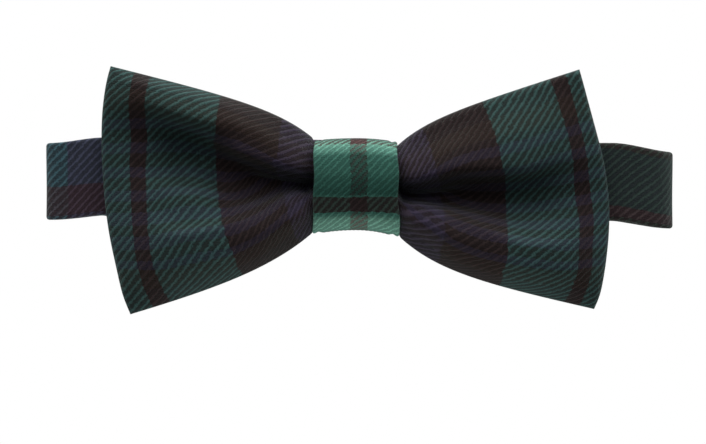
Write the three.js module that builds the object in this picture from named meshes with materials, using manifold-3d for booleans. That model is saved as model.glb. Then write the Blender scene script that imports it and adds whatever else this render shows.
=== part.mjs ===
// A pre-tied bow tie on an adjustable neck band, in millimetres, +Z up.
// The bow faces -Y and the neck is on the +Y side. The origin is on the flat back of the knot,
// which rests against the collar, at the bow's mid line.

import * as THREE from 'three';
import { mergeVertices } from 'three/addons/utils/BufferGeometryUtils.js';
import Module from 'manifold-3d';

const wasm = await Module();
wasm.setup();

// ---- driving dimensions -------------------------------------------------------------------------

const FIT_GAP = 0.3; // between pieces that touch
const CLOTH = 0.9; // thickness of one worked layer of wool twill
const THREAD_RADIUS = 0.3; // binding thread
const THREAD_EASE = 0.05; // a turn lies this much inside its own track at the corners
const STITCH_RADIUS = 0.22; // sewing thread

// Bow: distances d are measured outwards from the middle of the bow, heights from its mid line.
const WAIST_DEPTH = 7.8; // the pinched middle, inside the knot
const EDGE_DEPTH = 3.2; // the whole bow's thickness at its outer edges
const CREST_DEPTH = 11.4; // the deepest the wings puff out
const CREST_AT = 26; // where they are deepest
const VALLEY_REACH = 46; // where the fold from the knot has flattened out
const THIN_AT = 60; // where the wings are down to their edge thickness
const LOBE_ROUNDNESS = 0.8; // powers that shape the lobes and the crown: less is boxier
const CROWN_ROUNDNESS = 0.6;
const KNOT_FILL = 0.35; // the least share of its depth that the bow fills inside the knot
const KNOT_FILL_BLEND = [-4, 6]; // where that fades, from the knot's side
const SQUEEZE_REACH = 3.5; // past the knot's side, where the wing edges are free of its squeeze
const STIFFENER = 0.6; // interfacing thickness

// Each wing edge leaves the knot at `start`, climbs quickly by `rise` over `reach`, then by `slope`.
const LEFT_WING = {
  side: -1,
  top: { start: 11.5, rise: 5.2, reach: 8.8, slope: 0.25 },
  bottom: { start: 10.6, rise: 7.7, reach: 12.9, slope: 0.28 },
  cornerTop: 58.3,
  cornerBottom: 53.6,
  edgePull: 64.3,
};
const RIGHT_WING = {
  side: 1,
  top: { start: 10.0, rise: 4.2, reach: 7.1, slope: 0.32 },
  bottom: { start: 11.5, rise: 7.3, reach: 9.8, slope: 0.22 },
  cornerTop: 53.1,
  cornerBottom: 56.6,
  edgePull: 65.2,
};

// Knot
const KNOT_WIDTH = 20;
const KNOT_WALL = 1.2; // doubled cloth, pressed
const KNOT_EASE = 0.5; // above and below the band that passes through
const KNOT_STIFFENER = 0.5;
const KNOT_FRONT_RADIUS = 5;
const KNOT_BACK_RADIUS = 2.5;

// Neck band
const BAND_HEIGHT = 18.4;
const BAND_THICKNESS = 1.6; // cloth, interlining, cloth
const BAND_WALL = 0.35;
const BAND_RISE = 0.7; // the band and knot sit this far above the bow's mid line
const LOOP_LEFT = 74.1; // the folded front ends, from the middle
const LOOP_RIGHT = 76.1;
const LOOP_BACK = 73; // from the origin to the back run's middle layer
const BACK_HALF_WIDTH = 52; // where the sides would meet the back run
const LEFT_FOLD_RADIUS = 3.2; // middle of the cloth's thickness
const RIGHT_FOLD_RADIUS = 7;
const BACK_CORNER_RADIUS = 20;

// Hardware
const BAR_RADIUS = 0.6;
const RAIL_HEIGHT = 1.8; // metal above and below the cloth
const PLATE = 1.0;
const SLIDER_RAIL = 1.4; // thickness of the slider's arched rails
const RING_EASE = 0.1; // extra play between the ring and the hook's tongue
const HOOK_BAR_X = 12; // the hook's bar, along the back run
const HOOK_REACH = 9.6; // bar to lip
const HOOK_TONGUE = 11; // width of the tongue, up and down
const HOOK_LIP = 2.4;
const HOOK_SLACK = 0.8; // between the ring's bar and the lip
const RING_LENGTH = 9; // bar to bar
const SLIDER_X = -14;
const SLIDER_LENGTH = 14;
const FLAP_LENGTH = 6; // the sewn-down end past a bar
const FLAP_TURN = THREE.MathUtils.degToRad(14); // how far the flap leans onto the strap

// ---- materials ----------------------------------------------------------------------------------

const cloth = new THREE.MeshStandardMaterial({ color: 0x23363a, roughness: 0.9, metalness: 0 });
const knotCloth = new THREE.MeshStandardMaterial({ color: 0x2f5448, roughness: 0.9, metalness: 0 });
const bandCloth = new THREE.MeshStandardMaterial({ color: 0x1c3036, roughness: 0.9, metalness: 0 });
const canvas = new THREE.MeshStandardMaterial({ color: 0xd8d2c2, roughness: 0.95, metalness: 0 });
const thread = new THREE.MeshStandardMaterial({ color: 0x14201f, roughness: 0.7, metalness: 0 });
const nickel = new THREE.MeshStandardMaterial({ color: 0xb9b7b0, roughness: 0.3, metalness: 1 });

const group = new THREE.Group();

function add(name, geometry, material) {
  const mesh = new THREE.Mesh(geometry, material);
  mesh.name = name;
  group.add(mesh);
  return mesh;
}

// ---- solids -------------------------------------------------------------------------------------

function welded(geometry) {
  const bare = geometry.clone();
  bare.deleteAttribute('normal');
  bare.deleteAttribute('uv');
  return mergeVertices(bare, 1e-4);
}

function solid(geometry) {
  const bare = welded(geometry);
  return new wasm.Manifold(
    new wasm.Mesh({
      numProp: 3,
      vertProperties: new Float32Array(bare.attributes.position.array),
      triVerts: new Uint32Array(bare.index.array),
    }),
  );
}

function geometryOf(manifold) {
  const mesh = manifold.getMesh();
  const geometry = new THREE.BufferGeometry();
  geometry.setAttribute('position', new THREE.BufferAttribute(mesh.vertProperties, 3));
  geometry.setIndex(new THREE.BufferAttribute(mesh.triVerts, 1));
  return geometry;
}

function joined(...geometries) {
  return geometryOf(geometries.map(solid).reduce((a, b) => a.add(b)));
}

function boxAt(lowX, lowY, lowZ, highX, highY, highZ) {
  const box = new THREE.BoxGeometry(highX - lowX, highY - lowY, highZ - lowZ);
  return box.translate((lowX + highX) / 2, (lowY + highY) / 2, (lowZ + highZ) / 2);
}

function barAt(x, y, height) {
  const bar = new THREE.CylinderGeometry(BAR_RADIUS, BAR_RADIUS, height, 12);
  return bar.rotateX(Math.PI / 2).translate(x, y, BAND_RISE);
}

// A strip of cloth standing on edge along a path of [x, y] points.
function strip(path, thickness, height) {
  const points = path.map(([x, y]) => new THREE.Vector2(x, y));
  const normals = points.map((p, i) => {
    const before = points[Math.max(i - 1, 0)];
    const after = points[Math.min(i + 1, points.length - 1)];
    const along = after.clone().sub(before).normalize();
    return new THREE.Vector2(-along.y, along.x);
  });
  const one = points.map((p, i) => p.clone().addScaledVector(normals[i], thickness / 2));
  const other = points.map((p, i) => p.clone().addScaledVector(normals[i], -thickness / 2));
  const outline = new THREE.Shape([...one, ...other.reverse()]);
  const geometry = new THREE.ExtrudeGeometry(outline, { depth: height, bevelEnabled: false });
  return geometry.translate(0, 0, BAND_RISE - height / 2);
}

// A flat tube of cloth, open at both ends, and the interlining inside it.
function sleeve(path) {
  const inside = BAND_THICKNESS - 2 * BAND_WALL;
  const hollow = extended(path, 1);
  const bore = strip(hollow, inside, BAND_HEIGHT - 2 * BAND_WALL);
  return geometryOf(solid(strip(path, BAND_THICKNESS, BAND_HEIGHT)).subtract(solid(bore)));
}

function interlining(path) {
  const thickness = BAND_THICKNESS - 2 * BAND_WALL - 2 * FIT_GAP;
  return strip(extended(path, -1), thickness, BAND_HEIGHT - 2 * BAND_WALL - 2 * FIT_GAP);
}

// The same straight path, longer at each end by `extra`.
function extended([[x0, y0], [x1, y1]], extra) {
  const length = Math.hypot(x1 - x0, y1 - y0);
  const ux = ((x1 - x0) / length) * extra;
  const uy = ((y1 - y0) / length) * extra;
  return [[x0 - ux, y0 - uy], [x1 + ux, y1 + uy]];
}

function arc(cx, cy, radius, from, to, steps) {
  return Array.from({ length: steps + 1 }, (_, i) => {
    const a = from + ((to - from) * i) / steps;
    return [cx + radius * Math.cos(a), cy + radius * Math.sin(a)];
  });
}

// A thin rope straight from point to point, with six sides and closed ends.
function ropeThrough(points, radius) {
  const sides = 6;
  const positions = [];
  const index = [];
  const steady = new THREE.Vector3(1, 0, 0);
  points.forEach((point, i) => {
    const ahead = points[Math.min(i + 1, points.length - 1)];
    const along = ahead.clone().sub(points[Math.max(i - 1, 0)]).normalize();
    const out = steady.clone().addScaledVector(along, -steady.dot(along)).normalize();
    const across = along.clone().cross(out);
    for (let k = 0; k < sides; k += 1) {
      const a = (k / sides) * 2 * Math.PI;
      const ring = out.clone().multiplyScalar(Math.cos(a)).addScaledVector(across, Math.sin(a));
      positions.push(...point.clone().addScaledVector(ring, radius).toArray());
    }
  });
  for (let i = 0; i < points.length - 1; i += 1) {
    for (let k = 0; k < sides; k += 1) {
      const a = i * sides + k;
      const b = i * sides + ((k + 1) % sides);
      index.push(a, b, b + sides, a, b + sides, a + sides);
    }
  }
  const last = (points.length - 1) * sides;
  for (let k = 1; k < sides - 1; k += 1) {
    index.push(0, k + 1, k);
    index.push(last, last + k, last + k + 1);
  }
  const geometry = new THREE.BufferGeometry();
  geometry.setAttribute('position', new THREE.Float32BufferAttribute(positions, 3));
  geometry.setIndex(index);
  return geometry;
}

// A thread along a smooth line.
function threadAlong(points, radius, steps) {
  const round = new THREE.Shape().absarc(0, 0, radius, 0, 2 * Math.PI);
  const path = new THREE.CatmullRomCurve3(points);
  return new THREE.ExtrudeGeometry(round, { extrudePath: path, steps, curveSegments: 3 });
}

// ---- bow ----------------------------------------------------------------------------------------

const KNOT_HALF = KNOT_WIDTH / 2;
const BAND_BACK = KNOT_WALL + 2 * FIT_GAP; // the front run's neck side, behind y = 0
const BAND_FRONT = BAND_BACK + BAND_THICKNESS;
const BOW_BACK = BAND_FRONT + 2 * FIT_GAP + 2 * THREAD_RADIUS;
const KNOT_HALF_HEIGHT = BAND_HEIGHT / 2 + KNOT_EASE + KNOT_WALL;
const WAIST_HALF_HEIGHT =
  KNOT_HALF_HEIGHT - KNOT_WALL - KNOT_STIFFENER - 2 * THREAD_RADIUS - 3 * FIT_GAP;
const KNOT_DEPTH =
  BOW_BACK + WAIST_DEPTH + 3 * FIT_GAP + 2 * THREAD_RADIUS + KNOT_STIFFENER + KNOT_WALL;

const smooth = THREE.MathUtils.smoothstep;

function edgeHeight(edge, waist, d) {
  const out = Math.max(d - KNOT_HALF, 0);
  const full = edge.start + edge.rise * (1 - Math.exp(-out / edge.reach)) + edge.slope * out;
  return waist + (full - waist) * smooth(d, KNOT_HALF + FIT_GAP, KNOT_HALF + SQUEEZE_REACH);
}

// How far out the wing reaches, at height share w from its bottom corner to its top corner.
function wingReach(wing, w) {
  const u = 1 - w;
  return wing.cornerBottom * u * u + 2 * wing.edgePull * u * w + wing.cornerTop * w * w;
}

// The bow's whole depth at distance d and height share w: two puffed lobes beside the knot's
// fold, which run into one low crown at the outer edge.
function bowDepth(d, w) {
  const v = 2 * w - 1;
  const lobes = Math.pow(Math.abs(Math.sin(Math.PI * v)), LOBE_ROUNDNESS);
  const crown = Math.pow(Math.max(1 - v * v, 0), CROWN_ROUNDNESS);
  const fold = 1 - smooth(d, KNOT_HALF, VALLEY_REACH);
  const shape = crown + (lobes - crown) * fold;
  const nearKnot = WAIST_DEPTH + (CREST_DEPTH - WAIST_DEPTH) * smooth(d, KNOT_HALF + FIT_GAP, CREST_AT);
  const crest = nearKnot + (EDGE_DEPTH - nearKnot) * smooth(d, CREST_AT, THIN_AT);
  const [fadeFrom, fadeTo] = KNOT_FILL_BLEND;
  const inKnot = KNOT_FILL * (1 - smooth(d, KNOT_HALF + fadeFrom, KNOT_HALF + fadeTo));
  return EDGE_DEPTH + (crest - EDGE_DEPTH) * Math.max(shape, inKnot);
}

// One layer of the bow, between two depths behind its front surface. All layers share one grid,
// so that they nest, and a layer may stop `trim` cells short of the bow's edges.
const CELLS_OUT = 15; // from the middle to each wing edge
const CELLS_UP = 12;

function bowPoint(i, j, depthOf) {
  const wing = i < 0 ? LEFT_WING : RIGHT_WING;
  const w = j / CELLS_UP;
  const d = (Math.abs(i) / CELLS_OUT) * wingReach(wing, w);
  const top = edgeHeight(wing.top, WAIST_HALF_HEIGHT + BAND_RISE, d);
  const bottom = edgeHeight(wing.bottom, WAIST_HALF_HEIGHT - BAND_RISE, d);
  return [wing.side * d, -BOW_BACK - depthOf(bowDepth(d, w)), -bottom + (top + bottom) * w];
}

function bowLayer(frontOf, backOf, trim) {
  const rows = 2 * (CELLS_OUT - trim) + 1;
  const columns = CELLS_UP - 2 * trim + 1;
  const side = rows * columns;
  const points = [];
  for (const depthOf of [frontOf, backOf]) {
    for (let i = trim - CELLS_OUT; i <= CELLS_OUT - trim; i += 1) {
      for (let j = trim; j <= CELLS_UP - trim; j += 1) points.push(...bowPoint(i, j, depthOf));
    }
  }
  const index = [];
  const quad = (a, b, c, d) => index.push(a, b, c, a, c, d);
  for (let i = 0; i < rows - 1; i += 1) {
    const low = i * columns;
    const high = low + columns - 1;
    for (let a = low; a < high; a += 1) {
      quad(a, a + columns, a + columns + 1, a + 1);
      quad(side + a, side + a + 1, side + a + columns + 1, side + a + columns);
    }
    quad(low, side + low, side + low + columns, low + columns);
    quad(high, high + columns, side + high + columns, side + high);
  }
  for (let j = 0; j < columns - 1; j += 1) {
    const last = (rows - 1) * columns + j;
    quad(j, j + 1, side + j + 1, side + j);
    quad(last, side + last, side + last + 1, last + 1);
  }
  const geometry = new THREE.BufferGeometry();
  geometry.setAttribute('position', new THREE.Float32BufferAttribute(points, 3));
  geometry.setIndex(index);
  return geometry;
}

const stiffenerFront = CLOTH + FIT_GAP;
add('bow_face_panel', bowLayer((t) => t, (t) => t - CLOTH, 0), cloth);
add(
  'bow_interfacing',
  bowLayer((t) => t - stiffenerFront, (t) => t - stiffenerFront - STIFFENER, 1),
  canvas,
);
add('bow_back_panel', bowLayer(() => CLOTH, () => 0, 0), cloth);

// ---- binding thread and knot --------------------------------------------------------------------

// A rounded rectangle in the Y-Z plane, `inset` inside the knot's outside.
function knotOutline(inset) {
  const top = BAND_RISE + KNOT_HALF_HEIGHT - inset;
  const bottom = BAND_RISE - KNOT_HALF_HEIGHT + inset;
  const front = -KNOT_DEPTH + inset;
  const back = -inset;
  const frontRadius = KNOT_FRONT_RADIUS - inset;
  const backRadius = KNOT_BACK_RADIUS - inset;
  const outline = new THREE.Path();
  outline.moveTo(front + frontRadius, bottom);
  outline.lineTo(back - backRadius, bottom);
  outline.absarc(back - backRadius, bottom + backRadius, backRadius, -Math.PI / 2, 0);
  outline.lineTo(back, top - backRadius);
  outline.absarc(back - backRadius, top - backRadius, backRadius, 0, Math.PI / 2);
  outline.lineTo(front + frontRadius, top);
  outline.absarc(front + frontRadius, top - frontRadius, frontRadius, Math.PI / 2, Math.PI);
  outline.lineTo(front, bottom + frontRadius);
  outline.absarc(front + frontRadius, bottom + frontRadius, frontRadius, Math.PI, 1.5 * Math.PI);
  return outline;
}

const alongX = new THREE.Matrix4().makeBasis(
  new THREE.Vector3(0, 1, 0),
  new THREE.Vector3(0, 0, 1),
  new THREE.Vector3(1, 0, 0),
);

// A tube around the bow's middle, between two insets, `width` along X.
function knotTube(outerInset, innerInset, width) {
  const shape = new THREE.Shape(knotOutline(outerInset).getPoints(5));
  shape.holes.push(new THREE.Path(knotOutline(innerInset).getPoints(5).reverse()));
  const tube = new THREE.ExtrudeGeometry(shape, { depth: width, bevelEnabled: false });
  return tube.translate(0, 0, -width / 2).applyMatrix4(alongX);
}

add('knot_wrap', knotTube(0, KNOT_WALL, KNOT_WIDTH), knotCloth);

// The knot's interfacing lines the front of the wrap only, so the band can pass behind the bow.
const liningInset = KNOT_WALL + FIT_GAP;
const lining = knotTube(liningInset, liningInset + KNOT_STIFFENER, KNOT_WIDTH - 2);
const behindReach = 2 * KNOT_DEPTH;
const behind = boxAt(
  -KNOT_WIDTH,
  -BOW_BACK - CLOTH,
  -behindReach,
  KNOT_WIDTH,
  behindReach,
  behindReach,
);
add('knot_interfacing', geometryOf(solid(lining).subtract(solid(behind))), canvas);

// Turns of thread hold the pleats in the middle, round a rectangle whose corners are rounder at
// the front, where the pleats are.
const BINDING_TURNS = 2.5;
const BINDING_PITCH = 1.6;
const BINDING_FRONT_RADIUS = 2.6;
const bindingGrow = FIT_GAP + THREAD_RADIUS;
const bindingHalfY = WAIST_DEPTH / 2 + bindingGrow;
const bindingHalfZ = WAIST_HALF_HEIGHT + bindingGrow;
const bindingTurn = [];
for (const [sideY, sideZ, from] of [[1, 1, 0], [-1, 1, 1], [-1, -1, 2], [1, -1, 3]]) {
  const radius = sideY < 0 ? BINDING_FRONT_RADIUS : bindingGrow;
  for (let k = 0; k <= 3; k += 1) {
    const a = ((from + k / 3) * Math.PI) / 2;
    const y = sideY * (bindingHalfY - radius) + radius * Math.cos(a);
    bindingTurn.push([y, sideZ * (bindingHalfZ - radius) + radius * Math.sin(a)]);
  }
}
const bindingPoints = Array.from({ length: BINDING_TURNS * bindingTurn.length }, (_, i) => {
  const turns = i / bindingTurn.length;
  const [y, z] = bindingTurn[i % bindingTurn.length];
  const x = (turns - BINDING_TURNS / 2) * BINDING_PITCH;
  return new THREE.Vector3(x, y - BOW_BACK - WAIST_DEPTH / 2, z + BAND_RISE);
});
add('waist_binding_thread', ropeThrough(bindingPoints, THREAD_RADIUS - THREAD_EASE), thread);

// A wavy line of hand stitches: `count` bites along one axis.
function stitchLine(count, place) {
  const points = [];
  for (let i = 0; i <= count * 2; i += 1) points.push(place(i / (count * 2), i % 2 ? 1 : -1));
  return threadAlong(points, STITCH_RADIUS, count * 6);
}

const knotBottom = BAND_RISE - KNOT_HALF_HEIGHT;
add(
  'knot_closing_stitches',
  stitchLine(
    5,
    (s, sway) =>
      new THREE.Vector3(
        (s - 0.5) * (KNOT_WIDTH - 4),
        -KNOT_BACK_RADIUS - 2 + sway * 0.7,
        knotBottom - FIT_GAP - STITCH_RADIUS,
      ),
  ),
  thread,
);

// ---- neck band ----------------------------------------------------------------------------------

// The band's middle line as a four-sided loop with rounded corners. A front corner is the acute
// one between the front run and a side that leans inwards, so its rounding falls short of where
// the two would meet: this gives the meeting point that puts the fold's outside at `reach`.
const bandMiddle = -(BAND_BACK + BAND_THICKNESS / 2);

function foldMeeting(reach, radius) {
  let x = reach;
  for (let step = 0; step < 20; step += 1) {
    const inside = Math.atan2(LOOP_BACK - bandMiddle, x - BACK_HALF_WIDTH);
    x = reach - BAND_THICKNESS / 2 - radius + radius / Math.tan(inside / 2);
  }
  return x;
}

const corners = [
  { x: -foldMeeting(LOOP_LEFT, LEFT_FOLD_RADIUS), y: bandMiddle, radius: LEFT_FOLD_RADIUS },
  { x: -BACK_HALF_WIDTH, y: LOOP_BACK, radius: BACK_CORNER_RADIUS },
  { x: BACK_HALF_WIDTH, y: LOOP_BACK, radius: BACK_CORNER_RADIUS },
  { x: foldMeeting(LOOP_RIGHT, RIGHT_FOLD_RADIUS), y: bandMiddle, radius: RIGHT_FOLD_RADIUS },
];

// Tangent points and arc of one rounded corner, going round the loop clockwise from above.
function rounded(i) {
  const at = new THREE.Vector2(corners[i].x, corners[i].y);
  const before = corners[(i + 3) % 4];
  const after = corners[(i + 1) % 4];
  const back = new THREE.Vector2(before.x, before.y).sub(at).normalize();
  const ahead = new THREE.Vector2(after.x, after.y).sub(at).normalize();
  const half = Math.acos(back.dot(ahead)) / 2;
  const run = corners[i].radius / Math.tan(half);
  const enter = at.clone().addScaledVector(back, run);
  const leave = at.clone().addScaledVector(ahead, run);
  const centre = at
    .clone()
    .add(back.clone().add(ahead).normalize().multiplyScalar(corners[i].radius / Math.sin(half)));
  const from = Math.atan2(enter.y - centre.y, enter.x - centre.x);
  let to = Math.atan2(leave.y - centre.y, leave.x - centre.x);
  if (to > from) to -= 2 * Math.PI;
  return { enter, leave, centre, from, to, radius: corners[i].radius };
}

const [leftFold, leftCorner, rightCorner, rightFold] = [0, 1, 2, 3].map(rounded);

// A corner's path, short of its neighbours by half the fit gap at each end.
function cornerPath(corner, steps) {
  const trim = FIT_GAP / 2 / corner.radius;
  const { x, y } = corner.centre;
  return arc(x, y, corner.radius, corner.from - trim, corner.to + trim, steps);
}

function straight(from, to) {
  return extended([[from.x, from.y], [to.x, to.y]], -FIT_GAP / 2);
}

function cornerPiece(name, corner, steps) {
  add(name, strip(cornerPath(corner, steps), BAND_THICKNESS, BAND_HEIGHT), bandCloth);
}

function straightPiece(name, path) {
  add(name, sleeve(path), bandCloth);
  add(`${name}_interlining`, interlining(path), canvas);
}

straightPiece('front_band', straight(rightFold.leave, leftFold.enter));
cornerPiece('left_front_fold', leftFold, 6);
straightPiece('left_side_band', straight(leftFold.leave, leftCorner.enter));
cornerPiece('left_back_corner', leftCorner, 8);
cornerPiece('right_front_fold', rightFold, 6);
straightPiece('right_side_band', straight(rightCorner.leave, rightFold.enter));
cornerPiece('right_back_corner', rightCorner, 8);

// ---- closure: long strap, slider and hook -------------------------------------------------------

const railLow = BAND_HEIGHT / 2 + FIT_GAP;
const railHigh = railLow + RAIL_HEIGHT;
const wrapRadius = BAR_RADIUS + FIT_GAP + BAND_THICKNESS / 2; // cloth's middle round a bar
const hookBarY = LOOP_BACK - wrapRadius;
const hookBar = new THREE.Vector2(HOOK_BAR_X, hookBarY);
const strapStart = new THREE.Vector2(leftCorner.leave.x, LOOP_BACK);
add(
  'long_strap',
  strip(
    extended([[strapStart.x, LOOP_BACK], [HOOK_BAR_X, LOOP_BACK]], -FIT_GAP / 2),
    BAND_THICKNESS,
    BAND_HEIGHT,
  ),
  bandCloth,
);

// The return run leans inwards from the hook to the slider, so that the sewn end fits between
// the slider's bar and the long strap.
const sliderBarY = LOOP_BACK - BAND_THICKNESS - FIT_GAP - wrapRadius;
const sliderBar = new THREE.Vector2(SLIDER_X, sliderBarY);
const lean = Math.atan2(hookBarY - sliderBarY, HOOK_BAR_X - SLIDER_X);
const foldEnd = -Math.PI / 2 + lean;
add(
  'long_strap_hook_fold',
  strip(
    arc(hookBar.x, hookBar.y, wrapRadius, Math.PI / 2 - 0.1, foldEnd + 0.1, 10),
    BAND_THICKNESS,
    BAND_HEIGHT,
  ),
  bandCloth,
);
const returnFrom = arc(hookBar.x, hookBar.y, wrapRadius, foldEnd, foldEnd, 1)[0];
const returnTo = arc(sliderBar.x, sliderBar.y, wrapRadius, foldEnd, foldEnd, 1)[0];
add(
  'long_strap_return',
  strip(extended([returnFrom, returnTo], -FIT_GAP / 2), BAND_THICKNESS, BAND_HEIGHT),
  bandCloth,
);

// The strap's end goes round a bar and leans back onto the strap that it is sewn to.
// `start` and `turn` are the arc's first angle and signed sweep.
function sewnEnd(bar, start, turn) {
  const sign = Math.sign(turn);
  const end = start + turn + sign * FLAP_TURN;
  const wrap = arc(bar.x, bar.y, wrapRadius, start + sign * 0.1, end, 12);
  const last = wrap[wrap.length - 1];
  const heading = end + (sign * Math.PI) / 2;
  wrap.push([last[0] + FLAP_LENGTH * Math.cos(heading), last[1] + FLAP_LENGTH * Math.sin(heading)]);
  return { path: wrap, heading, last };
}

const longEnd = sewnEnd(sliderBar, foldEnd, -Math.PI);
add('long_strap_end', strip(longEnd.path, BAND_THICKNESS, BAND_HEIGHT), bandCloth);

// Stitches lie on the flap's face, across its width, `offset` off the cloth's middle line.
function flapStitches(end, offset) {
  const along = end.heading;
  const middle = FLAP_LENGTH * 0.6;
  const away = offset * (BAND_THICKNESS / 2 + FIT_GAP + STITCH_RADIUS);
  const x = end.last[0] + middle * Math.cos(along) - away * Math.sin(along);
  const y = end.last[1] + middle * Math.sin(along) + away * Math.cos(along);
  return stitchLine(7, (s, sway) => {
    const shift = sway * 0.7;
    return new THREE.Vector3(
      x + shift * Math.cos(along),
      y + shift * Math.sin(along),
      BAND_RISE + (s - 0.5) * (BAND_HEIGHT - 5),
    );
  });
}

// Top and bottom rails of a metal piece, from an outline in the X-Y plane.
function rails(path, thickness) {
  const rail = strip(path, thickness, railHigh - railLow);
  const middle = (railHigh + railLow) / 2;
  return [rail.clone().translate(0, 0, middle), rail.clone().translate(0, 0, -middle)];
}

// Slider: outer bars lie outside the long strap, and the middle bar holds the sewn end.
const outerBarY = LOOP_BACK + BAND_THICKNESS / 2 + FIT_GAP + PLATE / 2;
const half = SLIDER_LENGTH / 2;
const endBars = [-1, 1].map((side) => {
  const x = SLIDER_X + side * (half - PLATE);
  const low = BAND_RISE - railHigh;
  const high = BAND_RISE + railHigh;
  return boxAt(x - PLATE, outerBarY - PLATE / 2, low, x + PLATE, outerBarY + PLATE / 2, high);
});
const archPath = Array.from({ length: 9 }, (_, i) => {
  const s = -1 + i / 4;
  const dip = 0.5 + 0.5 * Math.cos(Math.PI * s);
  return [SLIDER_X + s * (half - PLATE), outerBarY + (sliderBarY - outerBarY) * dip];
});
add(
  'slider_frame',
  joined(
    ...endBars,
    ...rails(archPath, SLIDER_RAIL),
    barAt(SLIDER_X, sliderBarY, 2 * railHigh - 1),
  ),
  nickel,
);

// Hook: a bar inside the strap's fold, rails past the cloth, a tongue, and a lip that points to
// the neck.
const tongueStart = HOOK_BAR_X + wrapRadius + BAND_THICKNESS / 2 + 2 * FIT_GAP;
const tongueEnd = HOOK_BAR_X + HOOK_REACH;
const shoulder = tongueStart + 1.6;
const hookOutline = new THREE.Shape([
  new THREE.Vector2(tongueStart, -railHigh),
  new THREE.Vector2(shoulder, -railHigh),
  new THREE.Vector2(shoulder + 2, -HOOK_TONGUE / 2),
  new THREE.Vector2(tongueEnd, -HOOK_TONGUE / 2),
  new THREE.Vector2(tongueEnd, HOOK_TONGUE / 2),
  new THREE.Vector2(shoulder + 2, HOOK_TONGUE / 2),
  new THREE.Vector2(shoulder, railHigh),
  new THREE.Vector2(tongueStart, railHigh),
]);
const tongue = new THREE.ExtrudeGeometry(hookOutline, { depth: PLATE, bevelEnabled: false });
tongue.rotateX(Math.PI / 2).translate(0, hookBarY + PLATE / 2, BAND_RISE);
const lip = boxAt(
  tongueEnd - PLATE,
  hookBarY - PLATE / 2 - HOOK_LIP,
  BAND_RISE - HOOK_TONGUE / 2,
  tongueEnd,
  hookBarY,
  BAND_RISE + HOOK_TONGUE / 2,
);
add(
  'hook',
  joined(
    barAt(HOOK_BAR_X, hookBarY, 2 * railHigh),
    ...rails([[HOOK_BAR_X, hookBarY], [shoulder, hookBarY]], PLATE),
    tongue,
    lip,
  ),
  nickel,
);

// ---- closure: ring and short strap --------------------------------------------------------------

// The ring's near bar lies on the neck side of the hook's tongue, short of its lip.
const ringBarX = tongueEnd - PLATE - HOOK_SLACK - BAR_RADIUS;
const ringY = hookBarY - PLATE / 2 - FIT_GAP - RING_EASE - BAR_RADIUS;
const ringFarX = ringBarX + RING_LENGTH;
const railBox = (side) => {
  const low = BAND_RISE + (side > 0 ? railLow : -railHigh);
  const high = BAND_RISE + (side > 0 ? railHigh : -railLow);
  return boxAt(ringBarX, ringY - BAR_RADIUS, low, ringFarX, ringY + BAR_RADIUS, high);
};
add(
  'ring',
  joined(
    barAt(ringBarX, ringY, 2 * railHigh),
    barAt(ringFarX, ringY, 2 * railHigh),
    railBox(1),
    railBox(-1),
  ),
  nickel,
);

// The short strap steps in from the back run to the ring, goes round its far bar and is sewn down.
const ringStrapY = ringY + wrapRadius;
const strapEnd = new THREE.Vector2(rightCorner.enter.x, LOOP_BACK);
add(
  'short_strap',
  strip(
    [
      [strapEnd.x - FIT_GAP / 2, LOOP_BACK],
      [(strapEnd.x + ringFarX) / 2, (LOOP_BACK + ringStrapY) / 2],
      [ringFarX + FIT_GAP / 2, ringStrapY],
    ],
    BAND_THICKNESS,
    BAND_HEIGHT,
  ),
  bandCloth,
);
const shortEnd = sewnEnd(new THREE.Vector2(ringFarX, ringY), Math.PI / 2, Math.PI);
add('short_strap_end', strip(shortEnd.path, BAND_THICKNESS, BAND_HEIGHT), bandCloth);
add('short_strap_stitches', flapStitches(shortEnd, -1), thread);
add('long_strap_stitches', flapStitches(longEnd, -1), thread);

export default group;
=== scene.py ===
# %% [markdown]
# # A tartan bow tie on an adjustable neck band
# A pre-tied bow tie is a wool bag, pinched in the middle and wrapped by a knot. A flat neck band
# passes behind the knot and goes round the collar. It closes with a hook and a ring at the back,
# and a slider sets its length. Sizes below are millimetres and each mesh is made in metres. The
# bow faces -Y, the neck is on the +Y side and +Z is up.

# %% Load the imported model
import math

import bpy
import numpy as np
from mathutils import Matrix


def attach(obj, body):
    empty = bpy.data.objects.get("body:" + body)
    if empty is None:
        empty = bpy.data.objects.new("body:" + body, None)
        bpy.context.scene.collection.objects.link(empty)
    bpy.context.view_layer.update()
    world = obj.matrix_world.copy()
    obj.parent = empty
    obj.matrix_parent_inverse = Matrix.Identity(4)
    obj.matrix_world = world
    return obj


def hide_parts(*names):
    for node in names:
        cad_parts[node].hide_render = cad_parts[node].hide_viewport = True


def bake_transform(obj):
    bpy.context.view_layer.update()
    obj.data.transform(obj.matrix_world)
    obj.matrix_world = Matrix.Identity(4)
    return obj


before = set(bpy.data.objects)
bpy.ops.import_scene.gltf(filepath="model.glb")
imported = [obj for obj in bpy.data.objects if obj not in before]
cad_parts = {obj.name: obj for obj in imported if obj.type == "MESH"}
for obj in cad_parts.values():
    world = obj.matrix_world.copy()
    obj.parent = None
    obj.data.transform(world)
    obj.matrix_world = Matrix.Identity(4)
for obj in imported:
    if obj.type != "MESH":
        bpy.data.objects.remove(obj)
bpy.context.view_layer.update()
MM = 0.001


# %% [markdown]
# ## Building whole surfaces at once
# Each soft piece is a closed bag or tube: rows of points that run once round its section, one row after
# another along its length. Its heights come from a few listed sections, joined by a curve that never
# overshoots, so a fold stays as deep as it was set.

# %% Curves and meshes


def smooth(value):
    """An S-curve from 0 to 1: three times the square less twice the cube."""
    value = np.clip(value, 0.0, 1.0)
    return value * value * (3.0 - 2.0 * value)


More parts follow.
